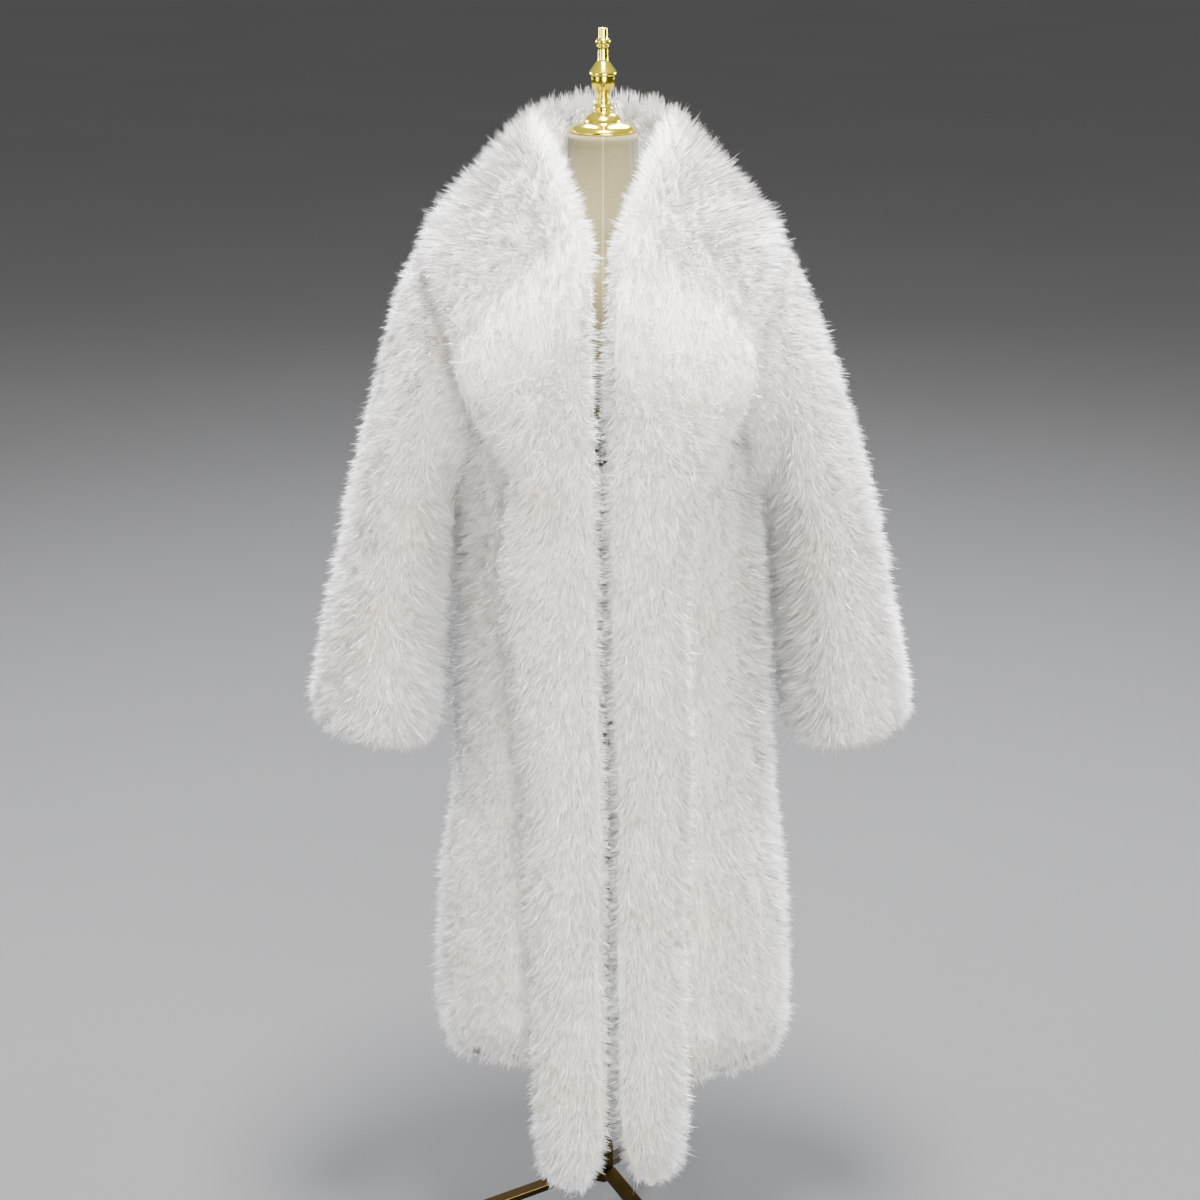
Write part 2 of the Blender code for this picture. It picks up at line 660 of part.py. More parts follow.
def flap_section(side, inner_at, outer_at, rise, lean, hug, upright, lift=0.0, fullness=1.0):
    """One section of the collar or a band: its underside along the coat from the inner to the outer edge,
    then its furred face back again. The underside starts buried in the fur below, which trims it."""
    shares = np.linspace(0, 1, 6)
    angles = side * (inner_at[0] + (outer_at[0] - inner_at[0]) * shares)
    heights = inner_at[1] + (outer_at[1] - inner_at[1]) * shares
    below = fur(angles, heights, -BURIED)
    surface = fur(angles, heights)
    normals = outward(backing, angles, heights)
    start, end = surface[0], surface[-1]
    up = normals[0] * (1 - upright) + np.array([0, 0, 1.0]) * upright
    up /= np.linalg.norm(up)
    out = end - start
    out -= up * (out @ up)
    out /= np.linalg.norm(out)
    out_end = end - start
    out_end -= normals[-1] * (out_end @ normals[-1])
    out_end /= np.linalg.norm(out_end)
    pile = (COLLAR_PILE + lift) * fullness
    rise = (rise + lift) * fullness
    hug = hug + lift
    edge_top = end + normals[-1] * pile * EDGE_TOP - out_end * EDGE_SET_BACK
    edge_middle = end + out_end * (EDGE_REACH + lift) * fullness + normals[-1] * pile * EDGE_MIDDLE
    crown = normals[2] * (CROWN + lift) * fullness
    neck_side = [
        start + up * rise * of_rise - out * (hug * of_hug + lean * of_lean)
        for of_rise, of_hug, of_lean in NECK_SIDE
    ]
    face = [neck_side[-1] * (1 - share) + edge_top * share + crown for share in FACE_SHARES]
    top = neck_side + face + [edge_top, edge_middle]
    foot = start - up * BURIED - out * hug * FOOT_HUG
    return sway(np.array([foot, *below, *top[::-1]]))


def collar_sections(side, lift=0.0):
    """The collar's sections, with one more between each two rows of its table."""
    rows = [[number, *row] for number, row in enumerate(COLLAR_ROWS)]
    for row in rows:
        row[1] = row[1] or float(front_edge(row[2], side))
    sections = []
    for station in np.linspace(0, len(rows) - 1, 2 * len(rows) - 1):
        values = [float(through(rows, column, station)) for column in range(1, 9)]
        sections.append(flap_section(side, values[0:2], values[2:4], *values[4:8], lift=lift))
    sections = np.array(sections)
    for _ in range(EVENING_PASSES):
        sections[1:-1] = (sections[:-2] + 2 * sections[1:-1] + sections[2:]) / 4
    sections[0, :, 0] = side * (SEAM / 2 - lift * 0.4)
    sections[-1, :, 2] += SEAM / 2 - lift
    return sections


def add_collar(name, side, *trims):
    made = add_object(f"collar_{name}", loft(f"collar_{name}", collar_sections(side)), "fur", parts)
    cut(made, *trims)
    grown = loft(f"collar_{name}_clearance", collar_sections(side, lift=0.0012))
    return add_cutter(f"collar_{name}_clearance", grown)


def add_band(name, side, *trims):
    """The straight band below the collar, which hangs past the hem to a rounded end."""
    sections = []
    bottom = BAND_END[side]
    levels = [row[0] for row in BAND_ROWS] + [COLLAR_END - bottom]
    for above in levels:
        height = bottom + above
        width = through(BAND_ROWS, 1 if side > 0 else 2, above)
        fullness = through(BAND_ROWS, 3, above)
        middle = side * through(HANG_ROWS, 2, height)
        insets = np.array([through(BAND_ROWS, 4, above), -through(BAND_ROWS, 5, above)])
        edges = np.array([FRONT_EDGE, width + FRONT_EDGE]) + insets + middle
        share = edges / through(BACKING_ROWS, 1, height)
        angles = np.degrees(np.arcsin(signed_power(share, ROUND / 2)))
        if above == levels[-1]:  # the seam's section is the collar's own
            angles = float(front_edge(height, side)), COLLAR_ROWS[-1][2]
        shape = COLLAR_ROWS[-1][4:]
        sections.append(
            flap_section(side, (angles[0], height), (angles[1], height), *shape, fullness=float(fullness))
        )
    sections = np.array(sections)
    sections[-1, :, 2] -= SEAM / 2
    made = add_object(f"band_{name}", loft(f"band_{name}", sections), "fur", parts)
    cut(made, *trims)


# ---- The whole part -------------------------------------------------------------------------------------


def place_on_origin():
    """Shifts everything so that the origin is under the middle of the whole part's box."""
    graph = bpy.context.evaluated_depsgraph_get()
    places = []
    for made in parts.objects:
        mesh = made.evaluated_get(graph).to_mesh()
        places += [made.matrix_world @ vertex.co for vertex in mesh.vertices]
        made.evaluated_get(graph).to_mesh_clear()
    places = np.array(places)
    middle = (places.min(axis=0) + places.max(axis=0)) / 2
    whole = bpy.data.objects.new("coat_on_form", None)
    for made in list(parts.objects) + list(cutters.objects):
        made.parent = whole
    parts.objects.link(whole)
    whole.location = (-middle[0], -middle[1], 0)


def main():
    form_cutter = add_form()
    add_cap()
    add_stand()
    armholes = [add_armhole("left", 1), add_armhole("right", -1)]
    add_body(armholes)
    hull = body_hull()
    for name, side in (("left", 1), ("right", -1)):
        clearance = add_collar(name, side, hull, form_cutter)
        add_band(name, side, hull)
        add_sleeve(name, side, hull, clearance)
    bpy.context.view_layer.update()
    place_on_origin()


for old in list(bpy.data.objects):
    bpy.data.objects.remove(old)
parts = bpy.data.collections.new("fur_coat_on_dress_form")
cutters = bpy.data.collections.new("cutters")
bpy.context.scene.collection.children.link(parts)
bpy.context.scene.collection.children.link(cutters)
main()
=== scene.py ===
# A long white faux fur coat with a shawl collar, open on a limbless dress form with a tripod foot.
import json
from math import pi, radians

import bmesh
import bpy
import numpy as np
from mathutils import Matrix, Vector

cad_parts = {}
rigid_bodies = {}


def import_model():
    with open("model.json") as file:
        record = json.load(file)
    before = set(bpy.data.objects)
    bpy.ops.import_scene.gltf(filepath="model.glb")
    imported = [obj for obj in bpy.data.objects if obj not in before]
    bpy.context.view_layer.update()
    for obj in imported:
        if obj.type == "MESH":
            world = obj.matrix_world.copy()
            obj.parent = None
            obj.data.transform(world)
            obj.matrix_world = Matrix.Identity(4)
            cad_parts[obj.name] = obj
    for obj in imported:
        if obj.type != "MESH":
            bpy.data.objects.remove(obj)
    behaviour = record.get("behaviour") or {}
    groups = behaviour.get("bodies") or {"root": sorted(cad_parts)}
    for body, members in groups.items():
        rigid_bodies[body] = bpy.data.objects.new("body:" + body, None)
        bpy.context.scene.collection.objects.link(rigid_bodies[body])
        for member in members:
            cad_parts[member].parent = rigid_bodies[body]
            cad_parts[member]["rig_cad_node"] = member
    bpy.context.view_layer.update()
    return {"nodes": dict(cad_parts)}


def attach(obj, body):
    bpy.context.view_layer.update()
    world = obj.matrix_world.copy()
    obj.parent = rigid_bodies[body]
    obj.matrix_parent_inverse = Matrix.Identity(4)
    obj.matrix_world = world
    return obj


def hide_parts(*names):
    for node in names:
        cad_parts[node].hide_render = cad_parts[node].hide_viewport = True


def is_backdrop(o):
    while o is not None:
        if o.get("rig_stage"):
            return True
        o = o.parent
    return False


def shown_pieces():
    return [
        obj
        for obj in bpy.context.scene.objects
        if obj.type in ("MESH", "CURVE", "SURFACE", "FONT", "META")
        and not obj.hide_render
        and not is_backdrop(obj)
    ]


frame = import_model()
middle = np.array([-0.011139, -0.013128, 0.0])  # from the pole's axis to the middle of the whole part's box
random = np.random.default_rng(24)


# Value of a table's column at a place along its first column: cubic pieces whose slopes are the
# harmonic means of the rises on both sides, so the curve never passes its rows.
def through(rows, column, place):
    xs = np.array([row[0] for row in rows], float)
    ys = np.array([row[column] for row in rows], float)
    rises = np.diff(ys) / np.diff(xs)
    product = rises[:-1] * rises[1:]
    total = np.where(product > 0, rises[:-1] + rises[1:], 1.0)
    slopes = np.concatenate([rises[:1], np.where(product > 0, 2 * product / total, 0), rises[-1:]])
    x = np.clip(np.asarray(place, float), xs[0], xs[-1])
    i = np.clip(np.searchsorted(xs, x) - 1, 0, len(xs) - 2)
    step = xs[i + 1] - xs[i]
    t = (x - xs[i]) / step
    rising = slopes[i] * step * t * (1 - t) ** 2 + slopes[i + 1] * step * t * t * (t - 1)
    return ys[i] * (1 + 2 * t) * (1 - t) ** 2 + ys[i + 1] * t * t * (3 - 2 * t) + rising


def numbered(rows):
    return [[number, *row] for number, row in enumerate(rows)]


def signedPower(value, power):
    return np.sign(value) * np.abs(value) ** power


def unit(vectors):
    return vectors / np.maximum(np.linalg.norm(vectors, axis=-1, keepdims=True), 1e-12)


def dot(a, b):
    return (a * b).sum(axis=-1, keepdims=True)


# The level direction away from the pole.
def outward(points):
    return unit(points * (1, 1, 0))


# From 0 at the start to 1 a width further on, in a straight line. A width below 0 runs the other way.
def ramp(value, start, width):
    return np.clip((value - start) / width, 0, 1)


# A bell curve: 1 at its centre, and a little over a third one width away from it.
def bell(value, centre, width):
    return np.exp(-(((value - centre) / width) ** 2))


# Steps of a grid of points along its rows and columns, taken between the neighbours on both sides.
def gridSteps(grid, closed=False):
    if closed:
        wide = np.concatenate([grid[:, -2:-1], grid, grid[:, 1:2]], axis=1)
        return np.gradient(grid, axis=0), (wide[:, 2:] - wide[:, :-2]) / 2
    return np.gradient(grid, axis=0), np.gradient(grid, axis=1)


# Unit normals of a grid: the cross product of its two steps.
def gridNormals(grid, closed=False):
    alongRows, alongColumns = gridSteps(grid, closed)
    return unit(np.cross(alongColumns, alongRows))


# The same, turned to the side that most of the given vectors point to.
def normalsTowards(grid, towards, closed=False):
    normals = gridNormals(grid, closed)
    return normals * np.sign(dot(normals, towards).sum())


# Evens closed rings out: each point moves half way to the middle of its neighbours, and to keep the size,
# in every second pass a little more than that away from it again.
def evened(rings, passes, keepSize=False):
    points = rings[:, :-1]
    for number in range(passes):
        share = -0.53 if keepSize and number % 2 else 0.5
        points = points + share * ((np.roll(points, 1, axis=1) + np.roll(points, -1, axis=1)) / 2 - points)
    return np.concatenate([points, points[:, :1]], axis=1)


# A grid's value at broken row and column numbers: the four nearest values, weighted by nearness.
def between(grid, row, column):
    i = np.clip(row.astype(int), 0, grid.shape[0] - 2)
    j = np.clip(column.astype(int), 0, grid.shape[1] - 2)
    a, b = (row - i)[:, None], (column - j)[:, None]
    low = grid[i, j] * (1 - b) + grid[i, j + 1] * b
    high = grid[i + 1, j] * (1 - b) + grid[i + 1, j + 1] * b
    return low * (1 - a) + high * a


# Random places on a grid, as many in each cell as its area times its weight asks for.
def scatter(grid, count, weight=None):
    along, across = np.diff(grid, axis=0)[:, :-1], np.diff(grid, axis=1)[:-1]
    area = np.linalg.norm(np.cross(along, across), axis=-1)
    if weight is not None:
        area = area * weight[:-1, :-1]
    total = np.cumsum(area.ravel())
    cell = np.searchsorted(total, random.random(count) * total[-1])
    row, column = np.divmod(np.clip(cell, 0, area.size - 1), area.shape[1])
    return row + random.random(count), column + random.random(count)


# Smooth waves over space: the sum of four sines with random directions, about one wavelength long.
def waves(points, wavelength, seed):
    source = np.random.default_rng(seed)
    total = 0
    for _ in range(4):
        direction = unit(source.normal(size=3)) * 2 * pi / (wavelength * source.uniform(0.7, 1.4))
        total = total + np.sin(points @ direction + source.uniform(0, 2 * pi))
    return total / 2


def linkObject(name, data):
    made = bpy.data.objects.new(name, data)
    bpy.context.scene.collection.objects.link(made)
    return made


def linkMesh(name, points, faces, material, uv=None, normals=None):
    corners = faces.shape[1]
    mesh = bpy.data.meshes.new(name)
    mesh.vertices.add(len(points))
    mesh.vertices.foreach_set("co", np.ascontiguousarray(points, np.float32).ravel())
    mesh.loops.add(faces.size)
    mesh.loops.foreach_set("vertex_index", np.ascontiguousarray(faces, np.int32).ravel())
    mesh.polygons.add(len(faces))
    mesh.polygons.foreach_set("loop_start", np.arange(0, faces.size, corners, dtype=np.int32))
    mesh.polygons.foreach_set("use_smooth", np.ones(len(faces), bool))
    if uv is not None:
        layer = mesh.uv_layers.new(name="cloth")
        layer.data.foreach_set("uv", np.ascontiguousarray(uv[faces.ravel()], np.float32).ravel())
    mesh.update(calc_edges=True)
    if normals is not None:
        mesh.normals_split_custom_set_from_vertices(normals.astype(np.float32))
    mesh.materials.append(material)
    return linkObject(name, mesh)


# Faces of a grid of points, rows by columns. Flipped, they face the other way.
def gridFaces(rows, columns, flip):
    index = np.arange(rows * columns).reshape(rows, columns)
    faces = np.stack([index[:-1, :-1], index[:-1, 1:], index[1:, 1:], index[1:, :-1]], axis=-1).reshape(-1, 4)
    return faces[:, ::-1] if flip else faces


# Distances in metres along a grid's columns and rows, as its UV map.
def gridUv(grid):
    across = np.linalg.norm(np.diff(grid, axis=1), axis=-1).mean(axis=0)
    along = np.linalg.norm(np.diff(grid, axis=0), axis=-1).mean(axis=1)
    u, v = np.concatenate([[0], np.cumsum(across)]), np.concatenate([[0], np.cumsum(along)])
    return np.stack(np.meshgrid(u, v), axis=-1)


# Puts a grid of points into a mesh, facing the way that the given vectors point.
def makeSurface(name, grid, outwards, material, closed=False):
    rows, columns = grid.shape[:2]
    facing = dot(np.cross(*gridSteps(grid)[::-1]), outwards).sum()
    faces = gridFaces(rows, columns, flip=facing < 0)
    points, uv = grid.reshape(-1, 3) + middle, gridUv(grid).reshape(-1, 2)
    made = linkMesh(name, points, faces, material, uv)
    if closed:
        merge = made.modifiers.new("close", "WELD")
        merge.merge_threshold = 0.00002
        applyModifiers(made)
    return made


def applyModifiers(made):
    graph = bpy.context.evaluated_depsgraph_get()
    mesh = bpy.data.meshes.new_from_object(made.evaluated_get(graph), depsgraph=graph)
    old = made.data
    made.modifiers.clear()
    made.data = mesh
    bpy.data.meshes.remove(old)


def finishPiece(made, slotName, *nodes):
    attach(made, "root")
    if nodes:
        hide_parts(*nodes)


# One socket of a material. Sums, differences and products of sockets and numbers add Math nodes.
class Wire:
    def __init__(self, finish, socket):
        self.finish, self.socket = finish, socket

    def math(self, operation, first, second=None):
        values = {0: first} if second is None else {0: first, 1: second}
        return self.finish.node("ShaderNodeMath", {"operation": operation}, values)

    def __add__(self, other):
        return self.math("ADD", self, other)

    def __radd__(self, other):
        return self.math("ADD", other, self)

    def __sub__(self, other):
        return self.math("SUBTRACT", self, other)

    def __rsub__(self, other):
        return self.math("SUBTRACT", other, self)

    def __mul__(self, other):
        return self.math("MULTIPLY", self, other)

    def __rmul__(self, other):
        return self.math("MULTIPLY", other, self)

    def sine(self):
        return self.math("SINE", self)

    def size(self):
        return self.math("ABSOLUTE", self)

    def part(self, letter):
        return self.finish.node("ShaderNodeSeparateXYZ", {}, {0: self}, letter)


# A material, or the world, with its one shader, and one method that adds any other node to it.
class Finish:
    def __init__(self, name, kind="materials", shader="Principled BSDF", **constants):
        self.made = getattr(bpy.data, kind).new(name)
        self.made.use_nodes = True
        self.tree = self.made.node_tree
        self.shader = self.tree.nodes[shader]
        self.feed(**constants)

    def plug(self, socket, value):
        if isinstance(value, Wire):
            self.tree.links.new(value.socket, socket)
        else:
            socket.default_value = (*value, 1) if socket.type == "RGBA" and len(value) == 3 else value

    def feed(self, **inputs):
        for socket, value in inputs.items():
            self.plug(self.shader.inputs[socket.replace("_", " ")], value)

    def node(self, kind, settings=None, values=None, output=0):
        made = self.tree.nodes.new(kind)
        for setting, value in (settings or {}).items():
            if setting == "stops":
                stops = made.color_ramp.elements
                for number, (place, colour) in enumerate(value):
                    stop = stops[number] if number < 2 else stops.new(place)
                    stop.position, stop.color = place, (*colour, 1)
            else:
                setattr(made, setting, value)
        for socket, value in (values or {}).items():
            self.plug(made.inputs[socket], value)
        return Wire(self, made.outputs[output])

    def place(self, scale=(1, 1, 1)):
        spot = self.node("ShaderNodeTexCoord", {}, {}, "Object")
        return self.node("ShaderNodeMapping", {}, {"Vector": spot, "Scale": scale})

    def clothPlace(self, scale=(1, 1, 1)):
        spot = self.node("ShaderNodeUVMap", {"uv_map": "cloth"})
        return self.node("ShaderNodeMapping", {}, {"Vector": spot, "Scale": scale})

    def noise(self, spot, scale=1.0, detail=3.0, rough=0.5, distortion=0.0):
        values = {"Vector": spot, "Scale": scale, "Detail": detail, "Roughness": rough,
                  "Distortion": distortion}
        return self.node("ShaderNodeTexNoise", {}, values, "Fac")

    def mix(self, share, first, second, blend="MIX"):
        node = self.node("ShaderNodeMix", {"data_type": "RGBA", "blend_type": blend}).socket.node
        sockets = {socket.identifier: socket for socket in (*node.inputs, *node.outputs)}
        for name, value in (("Factor_Float", share), ("A_Color", first), ("B_Color", second)):
            self.plug(sockets[name], value)
        return Wire(self, sockets["Result_Color"])

    def bump(self, height, distance, strength=1.0):
        values = {"Height": height, "Distance": distance, "Strength": strength}
        self.feed(Normal=self.node("ShaderNodeBump", {}, values))


furLook = {
    "tip": (0.958, 0.947, 0.912),
    # shaft and root are the white hair in painted shade, darkest at the root
    "shaftPaintedShade": (0.79, 0.757, 0.700),
    "root": (0.52, 0.45, 0.37),
    "warmPaintedShade": (0.94, 0.865, 0.79),  # painted warm shade, laid in wide random patches
    "rim": (0.93, 0.96, 1.0, 1),  # sheen of the fur that is seen from the side
    "paintedGlow": 0.07,  # painted glow: the fur gives off light of its own colour, in place of light that white fur passes from hair to hair
    "darkest": 0.62,  # brightness of the darkest and the lightest hairs
    "lightest": 1.08,
    "patches": 0.68,  # how much of the painted warm shade the patches take
}


# From root to tip the hair gets whiter: root and shaft are darkened as painted shade deep in the pile. Wide
# random patches of it are given a warmer painted shade.
def furColourWithPaintedShade(finish, along):
    stops = [(0.0, furLook["root"]), (0.5, furLook["shaftPaintedShade"]), (0.88, furLook["tip"])]
    hair = finish.node("ShaderNodeValToRGB", {"stops": stops}, {0: along})
    patches = finish.noise(finish.place(), scale=6.0, detail=2.0)
    paintedShadePatch = finish.node("ShaderNodeMapRange", {}, {"Value": patches, "From Min": 0.48, "From Max": 0.68})
    return finish.mix(paintedShadePatch * furLook["patches"], hair, furLook["warmPaintedShade"], "MULTIPLY")


def makePileMaterial():
    finish = Finish("white_fur_pile", Roughness=0.62, Sheen_Weight=0.9, Sheen_Roughness=0.35,
                    Sheen_Tint=furLook["rim"], Specular_IOR_Level=0.25, Emission_Strength=furLook["paintedGlow"])
    spot = finish.node("ShaderNodeUVMap", {"uv_map": "cloth"})
    colour = furColourWithPaintedShade(finish, spot.part("Y"))
    shade = furLook["darkest"] + spot.part("X") * (furLook["lightest"] - furLook["darkest"])
    grey = finish.node("ShaderNodeCombineColor", {}, {0: shade, 1: shade, 2: shade})
    colour = finish.mix(1.0, colour, grey, "MULTIPLY")
    # the hair's colour also glows faintly: painted light
    finish.feed(Base_Color=colour, Emission_Color=colour)
    return finish.made


def makeUndercoatMaterial():
    finish = Finish("fur_undercoat", Roughness=0.8, Sheen_Weight=0.7, Sheen_Roughness=0.4,
                    Sheen_Tint=furLook["rim"], Specular_IOR_Level=0.15, Emission_Strength=furLook["paintedGlow"])
    fibres = finish.noise(finish.clothPlace((900, 55, 1)), detail=2.0, distortion=0.6)
    tufts = finish.noise(finish.clothPlace((240, 28, 1)), detail=2.0, distortion=0.8)
    # the undercoat takes the darker root and shaft colours: painted shade deep in the pile
    colour = furColourWithPaintedShade(finish, 0.05 + fibres * 0.25 + tufts * 0.35)
    # the undercoat's colour also glows faintly: painted light
    finish.feed(Base_Color=colour, Emission_Color=colour)
    finish.bump(fibres * 0.4 + tufts, 0.004)
    return finish.made


# The backing's knit: rows of small loops, each a bump where two sines meet.
def makeClothMaterial():
    finish = Finish("knit_backing", Base_Color=(0.86, 0.84, 0.80, 1), Roughness=0.9,
                    Sheen_Weight=0.2, Specular_IOR_Level=0.2)
    spot = finish.clothPlace()
    loops = (spot.part("X") * 2400).sine().size() * (spot.part("Y") * 1700).sine().size()
    patches = finish.noise(spot, scale=40.0)
    finish.feed(Base_Color=finish.mix(patches, (0.84, 0.82, 0.77), (0.90, 0.88, 0.85)))
    finish.bump(loops, 0.0005)
    return finish.made


# Plain weave: warp and weft threads half a millimetre apart, some thicker than others.
def makeLinenMaterial():
    finish = Finish("beige_linen", Roughness=0.85, Sheen_Weight=0.15, Specular_IOR_Level=0.25)
    spot = finish.clothPlace()
    slubs = finish.noise(finish.clothPlace((600, 30, 1)), detail=2.0)
    slubsAcross = finish.noise(finish.clothPlace((30, 600, 1)), detail=2.0)
    warp = (spot.part("X") * 6200 + slubsAcross).sine()
    weft = (spot.part("Y") * 6200 + slubs).sine()
    weave = warp * weft * 0.5 + 0.5
    shade = weave * 0.35 + slubs * 0.35 + slubsAcross * 0.30
    fromSeam = (finish.place().part("X") - float(middle[0])).size()
    seam = finish.node("ShaderNodeMapRange", {}, {"Value": fromSeam, "From Min": 0.0005, "From Max": 0.0012,
                                                  "To Min": 0.75, "To Max": 0.0})
    cloth = finish.mix(shade, (0.092, 0.079, 0.033), (0.165, 0.143, 0.068))
    finish.feed(Base_Color=finish.mix(seam * 0.45, cloth, (0.36, 0.33, 0.22)))
    finish.bump(shade, 0.0006, 0.7)
    return finish.made


# Polished plated metal: faint turning lines, smudges, and a darker tone in them.
def makeGoldMaterial(name, colour, rough):
    finish = Finish(name, Metallic=1.0)
    smudges = finish.noise(finish.place(), scale=35.0, detail=4.0, rough=0.6)
    scratches = finish.noise(finish.place((90, 90, 2600)), detail=2.0)
    darker = tuple(0.82 * value for value in colour)
    finish.feed(Base_Color=finish.mix(smudges, darker, colour))
    finish.feed(Roughness=rough + smudges * 0.10 + scratches * 0.05)
    finish.bump(scratches, 0.0001, 0.25)
    return finish.made


def makeRubberMaterial():
    finish = Finish("foot_rubber", Roughness=0.75, Specular_IOR_Level=0.35)
    grain = finish.noise(finish.place(), scale=900.0, detail=2.0)
    finish.feed(Base_Color=finish.mix(grain, (0.012, 0.012, 0.013), (0.035, 0.034, 0.032)))
    finish.bump(grain, 0.0001, 0.3)
    return finish.made


def makeFloorMaterial():
    finish = Finish("pale_floor", Roughness=0.9, Specular_IOR_Level=0.1)
    clouds = finish.noise(finish.place(), scale=0.8, detail=2.0)
    finish.feed(Base_Color=finish.mix(clouds, (0.066, 0.066, 0.067), (0.075, 0.075, 0.076)))
    return finish.made


pileMaterial = makePileMaterial()
undercoatMaterial = makeUndercoatMaterial()
clothMaterial = makeClothMaterial()
linenMaterial = makeLinenMaterial()
capGold = makeGoldMaterial("polished_gold", (0.88, 0.72, 0.045), 0.06)
# the stand's gold is darker than the cap's, and made darker still as painted shade for the dark surroundings
# it reflects
standGold = makeGoldMaterial("dark_gold_with_painted_shade", (0.105, 0.066, 0.018), 0.10)
rubberMaterial = makeRubberMaterial()
print("materials ready")


formRings = [
    # height, half_width, front, back
    (0.790, 0.148, 0.098, 0.100),
    (0.802, 0.154, 0.104, 0.106),
    (0.880, 0.156, 0.106, 0.112),
    (0.980, 0.134, 0.096, 0.100),
    (1.070, 0.114, 0.088, 0.084),
    (1.170, 0.134, 0.102, 0.092),
    (1.240, 0.146, 0.114, 0.098),
    (1.310, 0.160, 0.104, 0.100),
    (1.342, 0.170, 0.094, 0.096),
    (1.356, 0.171, 0.088, 0.092),
    (1.370, 0.163, 0.080, 0.088),
    (1.382, 0.144, 0.074, 0.083),
    (1.394, 0.116, 0.069, 0.078),
    (1.408, 0.088, 0.064, 0.071),
    (1.427, 0.064, 0.056, 0.060),
    (1.452, 0.050, 0.048, 0.050),
    (1.480, 0.0430, 0.043, 0.044),
    (1.513, 0.0406, 0.0406, 0.0406),
]
roundness = 2.3  # of the rings, where 2 is an ellipse


# A point of a ring: the sine and minus the cosine of its angle, each raised to 2 / roundness and
# multiplied by the half width and by the reach in front or behind. Angle 0 is the front.
def ringPoint(angle, height, rings):
    turn = np.radians(angle)
    front, back = through(rings, 2, height), through(rings, 3, height)
    across = through(rings, 1, height) * signedPower(np.sin(turn), 2 / roundness)
    reach = np.where(np.cos(turn) > 0, front, back)
    along = -reach * signedPower(np.cos(turn), 2 / roundness)
    return np.stack(np.broadcast_arrays(across, along, height), axis=-1).astype(float)


formLook = {
    "seamAngles": (0, 52, 128, 180, 232, 308),
    "seamDepth": 0.0007,
    "seamWidth": 1.1,  # degrees at the waist
    "waistRadius": 0.12,
    "neckEdge": 0.0012,  # how far the cover's bound top edge stands proud
    "neckTop": 1.507,
}


# The form's rings, with a groove at each seam and a rounded edge below and above.
def makeForm():
    heights = np.unique(np.concatenate([np.linspace(0.79, 1.33, 16), np.linspace(1.33, 1.513, 36)]))
    angles, levels = np.meshgrid(np.linspace(0, 360, 121), heights)
    grid = ringPoint(angles, levels, formRings)
    radius = np.linalg.norm(grid[..., :2], axis=-1)
    push = np.zeros(radius.shape)
    for seam in formLook["seamAngles"]:
        away = np.abs((angles - seam + 180) % 360 - 180)
        width = formLook["seamWidth"] * formLook["waistRadius"] / np.maximum(radius, 0.03)
        push -= formLook["seamDepth"] * bell(away, 0, width)
        push += formLook["seamDepth"] * 0.5 * bell(away, 3 * width, width)
    push += formLook["neckEdge"] * bell(levels, formLook["neckTop"], 0.004)
    grid[..., :2] *= (1 + push / radius)[..., None]
    centres = grid.mean(axis=1, keepdims=True)
    low = [centres[0] + (grid[0] - centres[0]) * share for share in (0.0, 0.5, 0.97)]
    high = [centres[-1] + (grid[-1] - centres[-1]) * share for share in (0.97, 0.5, 0.0)]
    grid = np.concatenate([np.stack(low), grid, np.stack(high)])
    return makeSurface("form_cover", grid, grid - grid.mean(axis=(0, 1)), linenMaterial, closed=True)


finishPiece(makeForm(), "linen", "torso")

capTurning = [
    # height above the neck, radius
    (0.1205, 0.0048), (0.1212, 0.0057), (0.1098, 0.0058), (0.1086, 0.0078), (0.1054, 0.0094),
    (0.1024, 0.0084), (0.1014, 0.0068), (0.1000, 0.0079), (0.0984, 0.0064), (0.0850, 0.0064),
    (0.0800, 0.0096), (0.0736, 0.0142), (0.0694, 0.0168), (0.0680, 0.0168), (0.0668, 0.0152),
    (0.0600, 0.0150), (0.0530, 0.0132), (0.0470, 0.0098), (0.0428, 0.0070), (0.0412, 0.0092),
    (0.0392, 0.0078), (0.0372, 0.0094), (0.0346, 0.0078), (0.0318, 0.0108), (0.0280, 0.0126),
    (0.0246, 0.0112), (0.0228, 0.0126), (0.0190, 0.0186), (0.0146, 0.0220), (0.0118, 0.0232),
    (0.0106, 0.0272), (0.0078, 0.0350), (0.0040, 0.0396), (0.0018, 0.0405), (0.0000, 0.0400),
]
capLook = {"foot": 1.5134, "holeDepth": 0.012, "holeRadius": 0.0034, "steps": 64, "finer": 4}


# A turned surface: each point of the outline goes once round Z, from the first angle back to it.
def makeTurned(name, outline, steps, material, lift=0.0):
    turn = np.linspace(0, 2 * pi, steps + 1)
    height, radius = np.array(outline)[:, 0:1], np.array(outline)[:, 1:2]
    grid = np.stack([radius * np.cos(turn), radius * np.sin(turn), height + lift + 0 * turn], axis=-1)
    return makeSurface(name, grid, -gridNormals(grid, closed=True), material, closed=True)


# A finer outline: a curve through its points that keeps to their tangents.
def finerOutline(outline, finer):
    rows = numbered(outline)
    places = np.linspace(0, len(rows) - 1, (len(rows) - 1) * finer + 1)
    return np.stack([through(rows, 1, places), through(rows, 2, places)], axis=-1)


def makeCap():
    top = capTurning[0][0]
    hole = [(top - capLook["holeDepth"], 0.0), (top - capLook["holeDepth"], capLook["holeRadius"] - 0.0002)]
    hole += [(top - 0.0006, capLook["holeRadius"]), (top, capLook["holeRadius"] + 0.0004)]
    outline = np.concatenate([hole, finerOutline(capTurning, capLook["finer"]), [(0, 0)]])
    return makeTurned("gold_neck_cap", outline, capLook["steps"], capGold, capLook["foot"])


finishPiece(makeCap(), "gold", "neck_cap")

